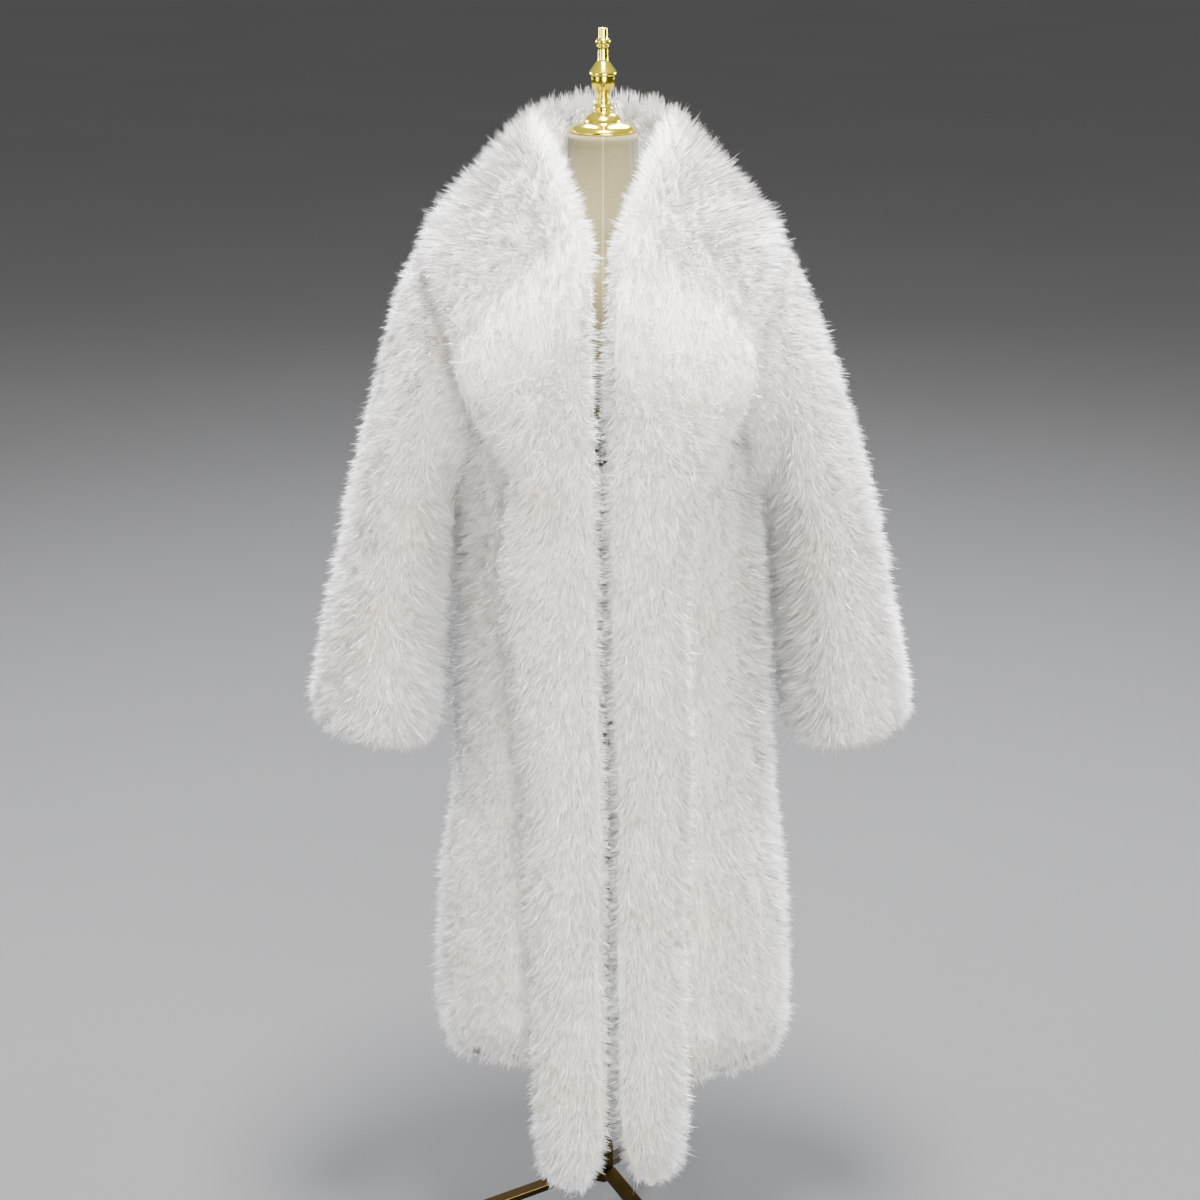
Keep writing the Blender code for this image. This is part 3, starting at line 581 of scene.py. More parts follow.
standLook = {
    "flange": [(0.7896, 0.0), (0.7896, 0.0440), (0.7890, 0.0452), (0.7872, 0.0460), (0.7856, 0.0456),
               (0.7830, 0.0390), (0.7800, 0.0320), (0.7740, 0.0250), (0.7660, 0.0202), (0.7590, 0.0178),
               (0.7566, 0.0150), (0.7556, 0.0100), (0.7540, 0.0095)],
    "poleEnd": 0.078,
    "poleRadius": 0.0095,
    "steps": 48,
    "edge": 0.0008,  # radius of the metal's rounded edges
}


def makePole():
    outline = standLook["flange"] + [(height, standLook["poleRadius"]) for height in (0.6, 0.4, 0.2, 0.0785)]
    outline += [(standLook["poleEnd"], standLook["poleRadius"] - 0.0005), (standLook["poleEnd"], 0.0)]
    return makeTurned("stand_pole", outline, standLook["steps"], standGold)


# A copy of a solid with its doubles merged, its flat faces joined and its edges rounded.
def makeRounded(node, material):
    shaper = bmesh.new()
    shaper.from_mesh(frame["nodes"][node].data)
    bmesh.ops.remove_doubles(shaper, verts=shaper.verts, dist=0.00002)
    bmesh.ops.dissolve_limit(shaper, angle_limit=radians(2), verts=shaper.verts, edges=shaper.edges)
    mesh = bpy.data.meshes.new("round_" + node)
    shaper.to_mesh(mesh)
    shaper.free()
    mesh.materials.clear()
    mesh.materials.append(material)
    made = linkObject("round_" + node, mesh)
    bevel = made.modifiers.new("edges", "BEVEL")
    bevel.width, bevel.segments = standLook["edge"], 3
    bevel.limit_method, bevel.angle_limit = "ANGLE", radians(25)
    mesh.shade_smooth()
    mesh.set_sharp_from_angle(angle=radians(40))
    return made


finishPiece(makePole(), "gold", "pole")
for node in ("hub", "leg_1", "leg_2", "leg_3"):
    finishPiece(makeRounded(node, standGold), "gold", node)
for node in ("foot_1", "foot_2", "foot_3"):
    finishPiece(makeRounded(node, rubberMaterial), "rubber", node)
print("dress form ready")


coat = {
    "pile": 0.034,  # depth of the fur on panels and sleeves
    "collarPile": 0.036,
    "shoulderPile": 0.045,
    "undercoat": 0.015,  # how far the dense undercoat lies below the tips
    "hem": 0.334,
    "neckline": 1.408,
    "frontEdge": 0.007,
    "collarEnd": 1.135,
    "formRest": 0.0009,
    "backing": 0.0012,  # the cloth's thickness
}
coatRings = [
    # height, half_width, front, back
    (0.160, 0.212, 0.168, 0.178),
    (0.334, 0.209, 0.162, 0.172),
    (0.450, 0.205, 0.157, 0.166),
    (0.550, 0.198, 0.153, 0.161),
    (0.650, 0.184, 0.149, 0.156),
    (0.730, 0.177, 0.147, 0.152),
    (0.850, 0.168, 0.145, 0.146),
    (0.970, 0.163, 0.143, 0.141),
    (1.090, 0.161, 0.140, 0.136),
    (1.190, 0.162, 0.136, 0.130),
    (1.270, 0.167, 0.126, 0.122),
    (1.320, 0.172, 0.110, 0.110),
] + [row for row in formRings if 1.342 <= row[0] <= 1.46]
hangRows = [
    # height, sway, opening
    (0.160, 0.014, -0.002), (0.330, 0.014, -0.003), (0.530, 0.013, -0.005), (0.730, 0.012, -0.003),
    (0.880, 0.010, -0.007), (0.990, 0.010, -0.010), (1.110, 0.008, -0.009), (1.230, 0.005, -0.010),
    (1.330, 0.000, -0.002), (1.410, 0.000, 0.000),
]
openingRows = [
    # height, half_gap
    (0.160, 0.007), (1.240, 0.007), (1.290, 0.012), (1.340, 0.018), (1.380, 0.026), (1.408, 0.034),
]
skirtFolds = [
    # angle, depth, spread, top
    (62, 0.009, 9, 0.93), (84, -0.006, 8, 0.73), (108, 0.010, 10, 0.88), (132, -0.008, 9, 0.83),
    (154, 0.012, 10, 1.03), (178, -0.007, 9, 0.78), (203, 0.011, 11, 0.98), (228, -0.008, 9, 0.88),
    (251, 0.010, 10, 0.93), (276, -0.005, 8, 0.73), (300, 0.008, 9, 0.88),
]


# The folds' push at an angle and height: for each a bell curve round its angle, fading upwards as the
# height's share to the power 1.3.
def foldPush(angle, height):
    push = np.zeros(np.broadcast(angle, height).shape)
    for centre, depth, spread, top in skirtFolds:
        away = (angle - centre + 180) % 360 - 180
        fading = ramp(height, top, coat["hem"] - top) ** 1.3
        push = push + depth * fading * bell(away, 0, spread)
    return push


hemRise = {"rise": 0.018, "angle": -30, "spread": 32, "top": 0.45}  # beside the right band


# Heights of a panel's rows at its angles: level, but for the hem's rise, a bell curve round its angle that
# fades upwards.
def hungHeights(levels, angles):
    around = (angles + 180) % 360 - 180
    fading = ramp(levels, hemRise["top"], coat["hem"] - hemRise["top"])[:, None]
    return levels[:, None] + hemRise["rise"] * fading * bell(around, hemRise["angle"], hemRise["spread"])


# The backing cloth: the coat's ring at that height, pushed out by its folds.
def backing(angle, height):
    place = ringPoint(angle, height, coatRings) + (0, 0, coat["formRest"])
    return place + outward(place) * (foldPush(angle, height) + coat["formRest"])[..., None]


# The cross product of the backing's steps round and up.
def backingNormal(angle, height):
    around = backing(angle + 0.5, height) - backing(angle - 0.5, height)
    up = backing(angle, height + 0.002) - backing(angle, height - 0.002)
    return unit(np.cross(around, up))


# The fur's face: a pile's depth off the backing along its normal.
def furEnd(angle, height, lift=0.0):
    return backing(angle, height) + backingNormal(angle, height) * (coat["pile"] + lift)


# Points moved sideways by the coat's sway at their height.
def swayed(points):
    moved = np.array(points, float)
    moved[..., 0] += through(hangRows, 1, moved[..., 2])
    return moved


# The angle of a ring's point at a distance to the side of the opening's middle: the arcsine of its share
# of the ring's half width, raised to roundness / 2.
def angleAcross(across, height, side):
    share = (across + side * through(hangRows, 2, height)) / through(coatRings, 1, height)
    return np.degrees(np.arcsin(signedPower(share, roundness / 2)))


# The front edge's angle, half the opening's gap from its middle.
def frontEdge(height, side):
    return angleAcross(through(openingRows, 1, height), height, side)


pileLook = {
    "perTuft": 5,
    "tuftSpread": 0.0023,
    "tuftGather": 0.52,  # share of the way that a hair's tip is drawn to its tuft's
    "gatherSpread": 0.15,
    "tuftDepth": (-0.0024, 0.0036),  # how far the tufts' tips stand past the fur's face, and how unevenly
    "hairDepth": 0.0012,  # how unevenly one tuft's hairs do, and how high the fur's slow waves are
    "shortest": 0.004,  # how much shorter a tuft's shortest hairs are
    "rooted": 0.003,  # how far below the undercoat's face the hairs start
    "lean": 0.0078,  # how far a hair runs along the cloth from its root to its tip
    "leanSpread": 0.5,
    "leanWaves": 0.25,
    "sideSpread": 0.35,  # how far it runs to the side, as a share of its lean
    "swirl": 0.26,  # radians that the nap turns to and fro
    "ruffle": 0.28,  # radians that each tuft turns by itself
    "width": 0.0008,
    "shortHairs": ((0.2, 1.0), (1.0, 0)),  # shares of the length, and of the width there
    "longHairs": ((0.15, 0.5, 0.8, 1.0), (0.8, 0.7, 0.45, 0)),
    "longShare": 0.10,  # share of longer hairs that bend
    "leanPower": 1.3,
    "risePower": 0.9,
    "stray": 0.0036,  # how far the longer hairs stand past the rest
    "tone": 0.24,  # how unevenly the hairs catch the light
    "tuftShade": 0.24,  # how unevenly the tufts are shaded, and the hairs in them
    "hairShade": 0.26,
    "twist": 0.5,  # how far the ribbons' flat sides turn
}


# Steps along a grid's rows and columns that add up to given steps in space, by least squares.
def gridShare(step, alongRow, alongColumn):
    rr, rc, cc = dot(alongRow, alongRow), dot(alongRow, alongColumn), dot(alongColumn, alongColumn)
    r, c = dot(step, alongRow), dot(step, alongColumn)
    scale = np.maximum(rr * cc - rc * rc, 1e-16)
    return np.concatenate([(r * cc - c * rc) / scale, (c * rr - r * rc) / scale], axis=1)


# Hairs in small tufts, each round a place of its own. A hair starts under the undercoat. Its place moves
# along the nap over the fur's face as its share of length to the power leanPower, and rises to that face
# as the power risePower. Most hairs are one narrow triangle, and the longer ones are ribbons that bend
# twice. weight says where they grow more densely, drop leaves out places, extra makes hairs longer, and
# thin scales how deep they start.
def growPile(name, outer, normals, flow, triangles, weight=None, drop=None, closed=False, extra=None,
             thin=None, **changes):
    look = {**pileLook, **changes}
    perTuft, longShare = look["perTuft"], look["longShare"]
    tufts = int(triangles / (1 + 4 * longShare) / perTuft)  # a bent hair takes 4 triangles more
    alongRows, alongColumns = gridSteps(outer, closed)
    last = outer.shape[1] - 1

    def at(grid, spot):
        column = spot[:, 1] % last if closed else spot[:, 1]
        return between(grid, spot[:, 0], column)

    def spread(values):
        return np.repeat(values, perTuft, axis=0)

    start = np.stack(scatter(outer, tufts, weight), axis=-1)
    if drop is not None:
        start = start[~drop(at(outer, start) - unit(at(normals, start)) * coat["undercoat"])]
        tufts = len(start)
    hairs = tufts * perTuft
    tip, normal, nap = at(outer, start), unit(at(normals, start)), at(flow, start)
    nap = nap - normal * dot(nap, normal)
    run = look["lean"] * np.clip(np.linalg.norm(nap, axis=-1, keepdims=True), 0.2, 3)
    run = spread(run * (1 + look["leanWaves"] * waves(tip, 0.05, 9)[:, None]))
    nap = unit(nap)
    turn = look["swirl"] * (waves(tip, 0.11, 3) + 0.6 * waves(tip, 0.035, 5))
    turn = turn + random.normal(0, look["ruffle"], tufts)
    nap = nap * np.cos(turn)[:, None] + np.cross(normal, nap) * np.sin(turn)[:, None]
    side = np.cross(normal, nap)
    along, across = at(alongRows, start), at(alongColumns, start)
    # the grid's steps for a metre along the nap and across it, bounded where the grid is tight
    napShare = spread(np.clip(gridShare(nap, along, across), -900, 900))
    sideShare = spread(np.clip(gridShare(side, along, across), -900, 900))
    start, shift = spread(start), random.normal(0, look["tuftSpread"], (hairs, 2))
    runs = run * np.clip(random.normal(1, look["leanSpread"], (hairs, 1)), 0.1, 2.2)
    root = start + napShare * (shift[:, :1] - runs / 2) + sideShare * shift[:, 1:]
    end = root + napShare * runs + sideShare * random.normal(0, look["sideSpread"], (hairs, 1)) * runs
    gather = np.clip(random.normal(look["tuftGather"], look["gatherSpread"], (hairs, 1)), 0, 0.8)
    end += (start + napShare * run / 2 - end) * gather

    # how far each tip stands past the fur's face: with its tuft, by itself, and more for the longer hairs
    longer = random.random(hairs) < longShare
    uneven = look["hairDepth"]
    past = spread(uneven * waves(tip, 0.06, 7)[:, None] + random.normal(*look["tuftDepth"], (tufts, 1)))
    past += random.normal(0, uneven, (hairs, 1)) - look["shortest"] * random.random((hairs, 1)) ** 2
    past += np.abs(random.normal(0, look["stray"], (hairs, 1))) * longer[:, None]
    if extra is not None:
        past += at(extra[..., None], start)
    below = (coat["undercoat"] + look["rooted"]) * (1.0 if thin is None else at(thin[..., None], start))
    below = below * np.ones((hairs, 1))

    # a hair's place and the fur's normal there, at a share of its length
    def hairAt(chosen, share):
        spot = root[chosen] + (end - root)[chosen] * share ** look["leanPower"]
        facing = unit(at(normals, spot))
        deep = -below[chosen] * (1 - share ** look["risePower"]) + past[chosen] * share ** 2
        return at(outer, spot) + facing * deep, facing

    tone = 0.5 + spread(random.normal(0, look["tuftShade"], (tufts, 1)))
    tone = np.clip(tone + random.normal(0, look["hairShade"], (hairs, 1)), 0, 1)
    glint = random.normal(0, look["tone"], (hairs, 3))
    wide = look["width"] * random.uniform(0.7, 1.3, (hairs, 1))
    twist = random.normal(0, look["twist"], (hairs, 1))
    # a ribbon's flat side looks away from the coat's middle
    away = unit(outward(spread(tip)) + spread(normal) * 0.5)

    # ribbons through given shares of the chosen hairs' length, each with its width there
    def ribbons(chosen, lengthShares, widths):
        places = [hairAt(chosen, share) for share in lengthShares]
        parts = []
        for number, (share, width) in enumerate(zip(lengthShares, widths)):
            place, facing = places[number]
            ahead = unit(places[min(number + 1, len(places) - 1)][0] - places[max(number - 1, 0)][0])
            level = unit(np.cross(ahead, facing * 0.35 + away[chosen]))
            level = unit(level + np.cross(level, ahead) * twist[chosen]) * wide[chosen] * width / 2
            shares = np.full((len(place), 1), share)
            shade = np.concatenate([tone[chosen], shares, unit(facing + glint[chosen])], axis=1)
            signs = (-1, 1) if width else (0,)
            parts += [np.concatenate([place + level * sign, shade], axis=1) for sign in signs]
        count = len(parts)
        faces = [face for low in range(0, count - 3, 2)
                 for face in ((low, low + 1, low + 2), (low + 1, low + 3, low + 2))]
        faces = np.array(faces + [(count - 3, count - 2, count - 1)])
        starts = np.arange(len(parts[0]))[:, None, None] * count
        return np.stack(parts, axis=1).reshape(-1, 8), (starts + faces).reshape(-1, 3)

    longHairs, longFaces = ribbons(longer, *look["longHairs"])
    shortHairs, shortFaces = ribbons(~longer, *look["shortHairs"])
    hair = np.concatenate([longHairs, shortHairs])
    faces = np.concatenate([longFaces, shortFaces + len(longHairs)])
    made = linkMesh(name, hair[:, :3] + middle, faces, pileMaterial, hair[:, 3:5], hair[:, 5:])
    print(f"{name}: {hairs} hairs, {len(faces)} triangles")
    return made


# One row or column more on each side of a grid, the same as its last.
def bordered(grid, columns=1):
    return np.pad(grid, ((1, 1), (columns, columns), (0, 0)), mode="edge")


# The undercoat's face below the tips' face, uneven by waves 35 mm and 12 mm long.
def undercoatBed(outer, normals, share=1.0):
    bed = outer - normals * coat["undercoat"] * share
    lumps = 0.0016 * waves(bed, 0.035, 11) + 0.0008 * waves(bed, 0.012, 12)
    return bed + normals * share * lumps[..., None]


# Shorter hairs, round a height, on the side that looks to the wearer's right.
def rightSideExtra(look, normals, level):
    return look["extra"] * np.clip(-normals[..., 0], 0, 1) * bell(level, look["height"], look["spread"])


# The backing cloth through every second row of a grid, with the fur's pieces on it.
def makeCloth(node, grid, outwards, undercoat, pile):
    cloth = makeSurface(node + "_cloth", grid[::-2][::-1], outwards[::-2][::-1], clothMaterial)
    shell = cloth.modifiers.new("thickness", "SOLIDIFY")
    shell.thickness, shell.offset = coat["backing"], -1
    finishPiece(cloth, "fur", node)
    for made in (undercoat, pile):
        finishPiece(made, "fur")


# A panel or a sleeve: its cloth, the undercoat on it, which an open panel turns in to the cloth's edge on
# all four sides, and the pile.
def dressPiece(node, cloth, outer, normals, flow, look, rests, closed=False, **more):
    bed, bedNormals = undercoatBed(outer, normals), normals
    if not closed:
        inner, bed, bedNormals = bed, bordered(cloth), bordered(normals)
        bed[1:-1, 1:-1] = inner
    undercoat = makeSurface(node + "_undercoat", bed, bedNormals, undercoatMaterial)
    pile = growPile(node + "_pile", outer, normals, flow, look["triangles"], closed=closed, **more)
    makeCloth(node, cloth, normals, undercoat, pile)


down = np.array([0.0, 0.0, -1.0])
panelHeights = np.concatenate([np.linspace(coat["hem"], 1.30, 44), np.linspace(1.31, coat["neckline"], 18)])
panelLook = {
    "back": {"flat": (0.62, 1.10), "area": 0.575, "triangles": 176000},
    "front_left": {"flat": (0.31, 1.10), "area": 0.28, "triangles": 86000},
    "front_right": {"flat": (0.31, 1.10), "area": 0.27, "triangles": 86000},
    "backColumns": 72,
    "frontColumns": 28,
    "overhang": 0.022,
    "hemRounding": 0.016,  # height over which the fur gets its full depth
    "hemDepth": 0.55,  # share of it at the hem
    "outwardNap": 0.12,
    "collarBottom": 1.345,
    "bandAngle": 10,
    "fewest": (0.04, 0.03),  # shares of the hairs that grow under the collar and under the bands
    "hemShare": 0.7,  # share under the bands at the hem
    "underSleeve": {"extra": 0.005, "facing": 0.7, "bottom": 0.75, "top": 1.2},
    "rightSide": {"extra": -0.006, "height": 0.68, "spread": 0.12},
    "besideBand": {"extra": -0.009, "angle": 28, "spread": 6},
}
armhole = {"away": 0.10, "centre": (0.008, 1.20), "half": (0.058, 0.13)}  # Y and Z of the oval


# A panel's fur ends a pile's depth off the cloth, and is rounded down past the hem: its depth rises from
# hemDepth with the root of the height's share.
def panelGrids(angles, heights):
    cloth = backing(angles, heights)
    normals = backingNormal(angles, heights)
    near = ramp(panelHeights[:, None], coat["hem"], panelLook["hemRounding"]) + 0 * angles
    depth = coat["pile"] * (panelLook["hemDepth"] + (1 - panelLook["hemDepth"]) * np.sqrt(near))
    outer = cloth + normals * depth[..., None]
    outer[..., 2] -= panelLook["overhang"] * (1 - near) ** 2
    return swayed(cloth), swayed(outer)


# Whether points lie in the oval where the arm passes: the squares of their shares of its halves add up to
# less than 1. No hairs grow there.
def insideArmhole(points):
    oval = ((points[:, 1:] - armhole["centre"]) / armhole["half"]) ** 2
    return (np.abs(points[:, 0]) > armhole["away"]) & (oval.sum(axis=1) < 1)


def makePanel(name, angles):
    look, heights = panelLook, hungHeights(panelHeights, angles)
    cloth, outer = panelGrids(angles, heights)
    out, level = outward(outer), outer[..., 2]
    normals = normalsTowards(outer, out)
    flow = down + look["outwardNap"] * out
    around = np.minimum(angles % 360, 360 - angles % 360)
    # few hairs grow under the collar and the bands, but for the last centimetres above the hem
    nearHem = ramp(panelHeights[:, None], coat["hem"] + 0.07, -0.05)
    weight = np.maximum(1 - ramp(heights, look["collarBottom"], 0.02), look["fewest"][0])
    beside = np.maximum(ramp(around, look["bandAngle"], 8), look["fewest"][1])
    weight = weight * np.maximum(beside, look["hemShare"] * nearHem)
    # longer hairs under the sleeves, and shorter ones at the right side and beside the bands
    under, band = look["underSleeve"], look["besideBand"]
    underSleeve = ramp(np.abs(normals[..., 0]), under["facing"], 0.2) * ramp(level, under["bottom"], 0.08)
    extra = under["extra"] * underSleeve * ramp(level, under["top"], -0.1)
    extra += rightSideExtra(look["rightSide"], normals, level)
    extra += band["extra"] * bell(around, band["angle"], band["spread"]) * (1 - nearHem)
    dressPiece(name, cloth, outer, normals, flow, look[name], ["torso"], weight=weight, drop=insideArmhole,
               extra=extra)


# A front's angles, from its edge round to the side seam at 90 degrees.
def frontAngles(side):
    shares = np.linspace(0, 1, panelLook["frontColumns"])
    edge = frontEdge(panelHeights, side)[:, None]
    return np.sort(side * (edge + (90 - edge) * shares), axis=1)


backAngles = np.linspace(90, 270, panelLook["backColumns"])
makePanel("back", np.repeat(backAngles[None], len(panelHeights), axis=0))
makePanel("front_left", frontAngles(1))
makePanel("front_right", frontAngles(-1))
print("back and fronts ready")


sleeveRings = [
    # outer_x, outer_z, inner_x, inner_z, centre_y, half_y
    (0.120, 1.376, 0.120, 1.060, 0.008, 0.100),
    (0.175, 1.386, 0.170, 1.042, 0.008, 0.102),
    (0.214, 1.388, 0.199, 1.015, 0.008, 0.105),
    (0.240, 1.356, 0.206, 0.970, 0.007, 0.108),
    (0.267, 1.292, 0.210, 0.930, 0.006, 0.110),
    (0.296, 1.205, 0.213, 0.895, 0.004, 0.111),
    (0.326, 1.102, 0.215, 0.865, 0.002, 0.112),
    (0.348, 1.005, 0.216, 0.835, 0.000, 0.113),
    (0.367, 0.915, 0.217, 0.805, -0.002, 0.114),
    (0.383, 0.835, 0.218, 0.778, -0.004, 0.115),
    (0.391, 0.790, 0.219, 0.760, -0.005, 0.115),
]
sleeveLook = {
    "flat": (0.42, 0.62),
    "area": 0.225,
    "triangles": 131000,
    "rows": 56,
    "steps": 64,
    "pile": ((2, 4), (coat["shoulderPile"], coat["pile"])),  # row numbers of sleeveRings, and the depth there
    "overhang": 0.017,
    # past the last ring: shares of the way in to the cloth, and of the overhang
    "cuffRounding": ((0.02, 0.18), (0.07, 0.42), (0.18, 0.68), (0.33, 0.88)),
    "clothPastCuff": (0.0005, 0.001, 0.0015, 0.002),
    "downNap": 0.3,
    "outwardNap": 0.40,
    "innerSide": {"extra": 0.014, "facing": 0.35, "bottom": 0.72},
    "rightSide": {"extra": -0.005, "height": 1.17, "spread": 0.14},
}
# the body's fur hides the sleeves' hairs that lie inset below its face, and above the shoulder a little more
bodyFur = {"inset": 0.012, "shoulder": 1.30, "shoulderLift": 0.6, "top": 1.42}


# A sleeve's ring: an ellipse whose long axis joins the row's outer and inner point, moved in by inset.
def sleeveGrid(side, inset, stations):
    rows = numbered(sleeveRings)
    value = [through(rows, column, stations) for column in range(1, 7)]
    top, low = np.stack(value[0:2], axis=-1), np.stack(value[2:4], axis=-1)
    centre, reach = (top + low) / 2, np.linalg.norm(top - low, axis=1) / 2
    axis = (top - low) / (2 * reach[:, None])
    turn = np.linspace(0, 2 * pi, sleeveLook["steps"] + 1)
    up = (reach - inset)[:, None] * np.cos(turn)
    over = (value[5] - inset)[:, None] * np.sin(turn)
    x = side * (centre[:, :1] + axis[:, :1] * up)
    z = centre[:, 1:] + axis[:, 1:] * up
    return swayed(np.stack([x, value[4][:, None] + over, z], axis=-1))


# Whether points lie inside the body's own fur: the shares of the ring's half width and reach, each to the
# power roundness, add up to less than 1.
def insideBody(points):
    x, y, z = points.T
    height = z - bodyFur["shoulderLift"] * coat["pile"] * ramp(z, bodyFur["shoulder"], 0.04)
    reach = np.where(y < 0, through(coatRings, 2, height), through(coatRings, 3, height))
    depth = coat["pile"] - bodyFur["inset"]
    across = np.abs(x - through(hangRows, 1, z)) / (through(coatRings, 1, height) + depth)
    along = np.abs(y) / (reach + depth)
    return (across ** roundness + along ** roundness < 1) & (z < bodyFur["top"])


def makeSleeve(node, side):
    look = sleeveLook
    stations = np.linspace(0.6, 10, look["rows"])
    outer = sleeveGrid(side, 0 * stations, stations)
    cloth = sleeveGrid(side, np.interp(stations, *look["pile"]), stations)
    ahead = unit(outer[-1] - outer[-3])
    rounded = [outer[-1] * (1 - dip) + cloth[-1] * dip + ahead * look["overhang"] * run
               for dip, run in look["cuffRounding"]]
    ends = [cloth[-1] + ahead * step for step in look["clothPastCuff"]]
    outer, cloth = np.concatenate([outer, rounded]), np.concatenate([cloth, ends])
    normals = normalsTowards(outer, outer - outer.mean(axis=1, keepdims=True), closed=True)
    alongRows, _ = gridSteps(outer, closed=True)
    flow = unit(alongRows) + down * look["downNap"] + np.array([side * look["outwardNap"], 0, 0])
    cloth[:, -1], outer[:, -1] = cloth[:, 0], outer[:, 0]
    # longer hairs on the side towards the body, and shorter ones outside on the right sleeve
    inner, level = look["innerSide"], outer[..., 2]
    inwards = 2 * np.clip(-side * normals[..., 0] - inner["facing"], 0, 0.5)
    extra = inner["extra"] * inwards * ramp(level, inner["bottom"], 0.1)
    if side < 0:
        extra += rightSideExtra(look["rightSide"], normals, level)
    dressPiece(node, cloth, outer, normals, flow, look, ["back"], closed=True, drop=insideBody, extra=extra)


makeSleeve("sleeve_left", 1)
makeSleeve("sleeve_right", -1)
print("sleeves ready")


collarRows = [
    # inner_angle, inner_z, outer_angle, outer_z, rise, lean, hug, upright
    (180.0, 1.406, 180.0, 1.318, 0.126, 0.020, 0.050, 1.0),
    (156.0, 1.406, 158.0, 1.318, 0.121, 0.020, 0.050, 1.0),
    (128.0, 1.406, 132.0, 1.330, 0.110, 0.018, 0.049, 1.0),
    (106.0, 1.406, 110.0, 1.352, 0.102, 0.018, 0.051, 1.0),
    (86.0, 1.406, 91.0, 1.370, 0.100, 0.018, 0.052, 1.0),
    (64.0, 1.406, 74.0, 1.352, 0.096, 0.016, 0.050, 1.0),
    (44.0, 1.406, 63.0, 1.328, 0.083, 0.012, 0.042, 0.9),
    (30.0, 1.404, 55.0, 1.296, 0.064, 0.002, 0.030, 0.6),
    (0.0, 1.388, 51.5, 1.270, 0.050, -0.006, 0.020, 0.2),
    (0.0, 1.350, 50.0, 1.242, 0.046, -0.010, 0.014, 0.0),
    (0.0, 1.302, 47.0, 1.214, 0.043, -0.012, 0.010, 0.0),
    (0.0, 1.248, 41.0, 1.184, 0.040, -0.012, 0.006, 0.0),
    (0.0, 1.192, 35.0, 1.158, 0.037, -0.012, 0.005, 0.0),
    (0.0, 1.135, 30.0, 1.135, 0.034, -0.012, 0.005, 0.0),
]
bandRows = [
    # above_end, left_width, right_width, fullness, inner_inset, outer_inset
    (0.000, 0.062, 0.068, 0.30, 0.030, 0.022),
    (0.010, 0.062, 0.068, 0.72, 0.022, 0.012),
    (0.030, 0.063, 0.069, 0.94, 0.013, 0.004),
    (0.060, 0.064, 0.070, 1.00, 0.006, 0.000),
    (0.110, 0.066, 0.071, 1.00, 0.001, 0.000),
    (0.200, 0.068, 0.071, 1.00, 0.000, 0.000),
    (0.360, 0.069, 0.073, 1.00, 0.000, 0.000),
    (0.520, 0.070, 0.076, 1.00, 0.000, 0.000),
    (0.680, 0.070, 0.080, 1.00, 0.000, 0.000),
    (0.820, 0.071, 0.081, 1.00, 0.000, 0.000),
]
bandEnds = {1: 0.198, -1: 0.182}


sectionLook = {
    "neckSide": [(0.42, 1.05, 0.00), (0.84, 0.62, 0.38), (1.00, 0.00, 1.00)],  # shares of rise, hug and lean
    "face": (0.34, 0.68),  # shares of the way from crest to edge
    "crown": 0.006,
    "footHug": 0.95,
    "overlap": 0.004,  # how deep underside and foot lie in the fur below
    "edgeTop": (0.93, 0.004),  # share of the pile's depth, and how far inside the edge
    "edgeMiddle": (0.40, 0.017),  # share of the pile's depth, and how far outside the edge
}


# One section across the collar or a band, from its foot at the neck under it to the outer edge and back
# over its furred face: a ring of 14 points.
def flapSection(side, innerAt, outerAt, rise, lean, hug, upright, fullness=1.0):
    look, shares = sectionLook, np.linspace(0, 1, 6)
    angles = side * (innerAt[0] + (outerAt[0] - innerAt[0]) * shares)
    heights = innerAt[1] + (outerAt[1] - innerAt[1]) * shares
    below, normals = furEnd(angles, heights, -look["overlap"]), backingNormal(angles, heights)
    start, end = furEnd(angles, heights)[[0, -1]]
    up = unit(normals[0] * (1 - upright) + np.array([0, 0, 1.0]) * upright)
    out = unit(end - start - up * ((end - start) @ up))
    outEnd = unit(end - start - normals[-1] * ((end - start) @ normals[-1]))
    pile, rise = coat["collarPile"] * fullness, rise * fullness
    edgeTop = end + normals[-1] * pile * look["edgeTop"][0] - outEnd * look["edgeTop"][1]
    edgeMiddle = end + outEnd * look["edgeMiddle"][1] * fullness + normals[-1] * pile * look["edgeMiddle"][0]
    neckSide = [start + up * rise * ofRise - out * (hug * ofHug + lean * ofLean)
                for ofRise, ofHug, ofLean in look["neckSide"]]
    crown = normals[2] * look["crown"] * fullness
    face = [neckSide[-1] * (1 - share) + edgeTop * share + crown for share in look["face"]]
    foot = start - up * look["overlap"] - out * hug * look["footHug"]
    return swayed(np.array([foot, *below, edgeMiddle, edgeTop, *face[::-1], *neckSide[::-1]]))


def collarSections(side):
    rows = numbered(collarRows)
    for row in rows:
        row[1] = row[1] or float(frontEdge(row[2], side))
    sections = []
    for station in np.linspace(0, len(rows) - 1, 2 * len(rows) - 1):
        values = [float(through(rows, column, station)) for column in range(1, 9)]
        sections.append(flapSection(side, values[0:2], values[2:4], *values[4:8]))
    sections = np.array(sections)
    for _ in range(4):
        sections[1:-1] = (sections[:-2] + 2 * sections[1:-1] + sections[2:]) / 4
    sections[0, :, 0] = side * 0.0002
    return sections


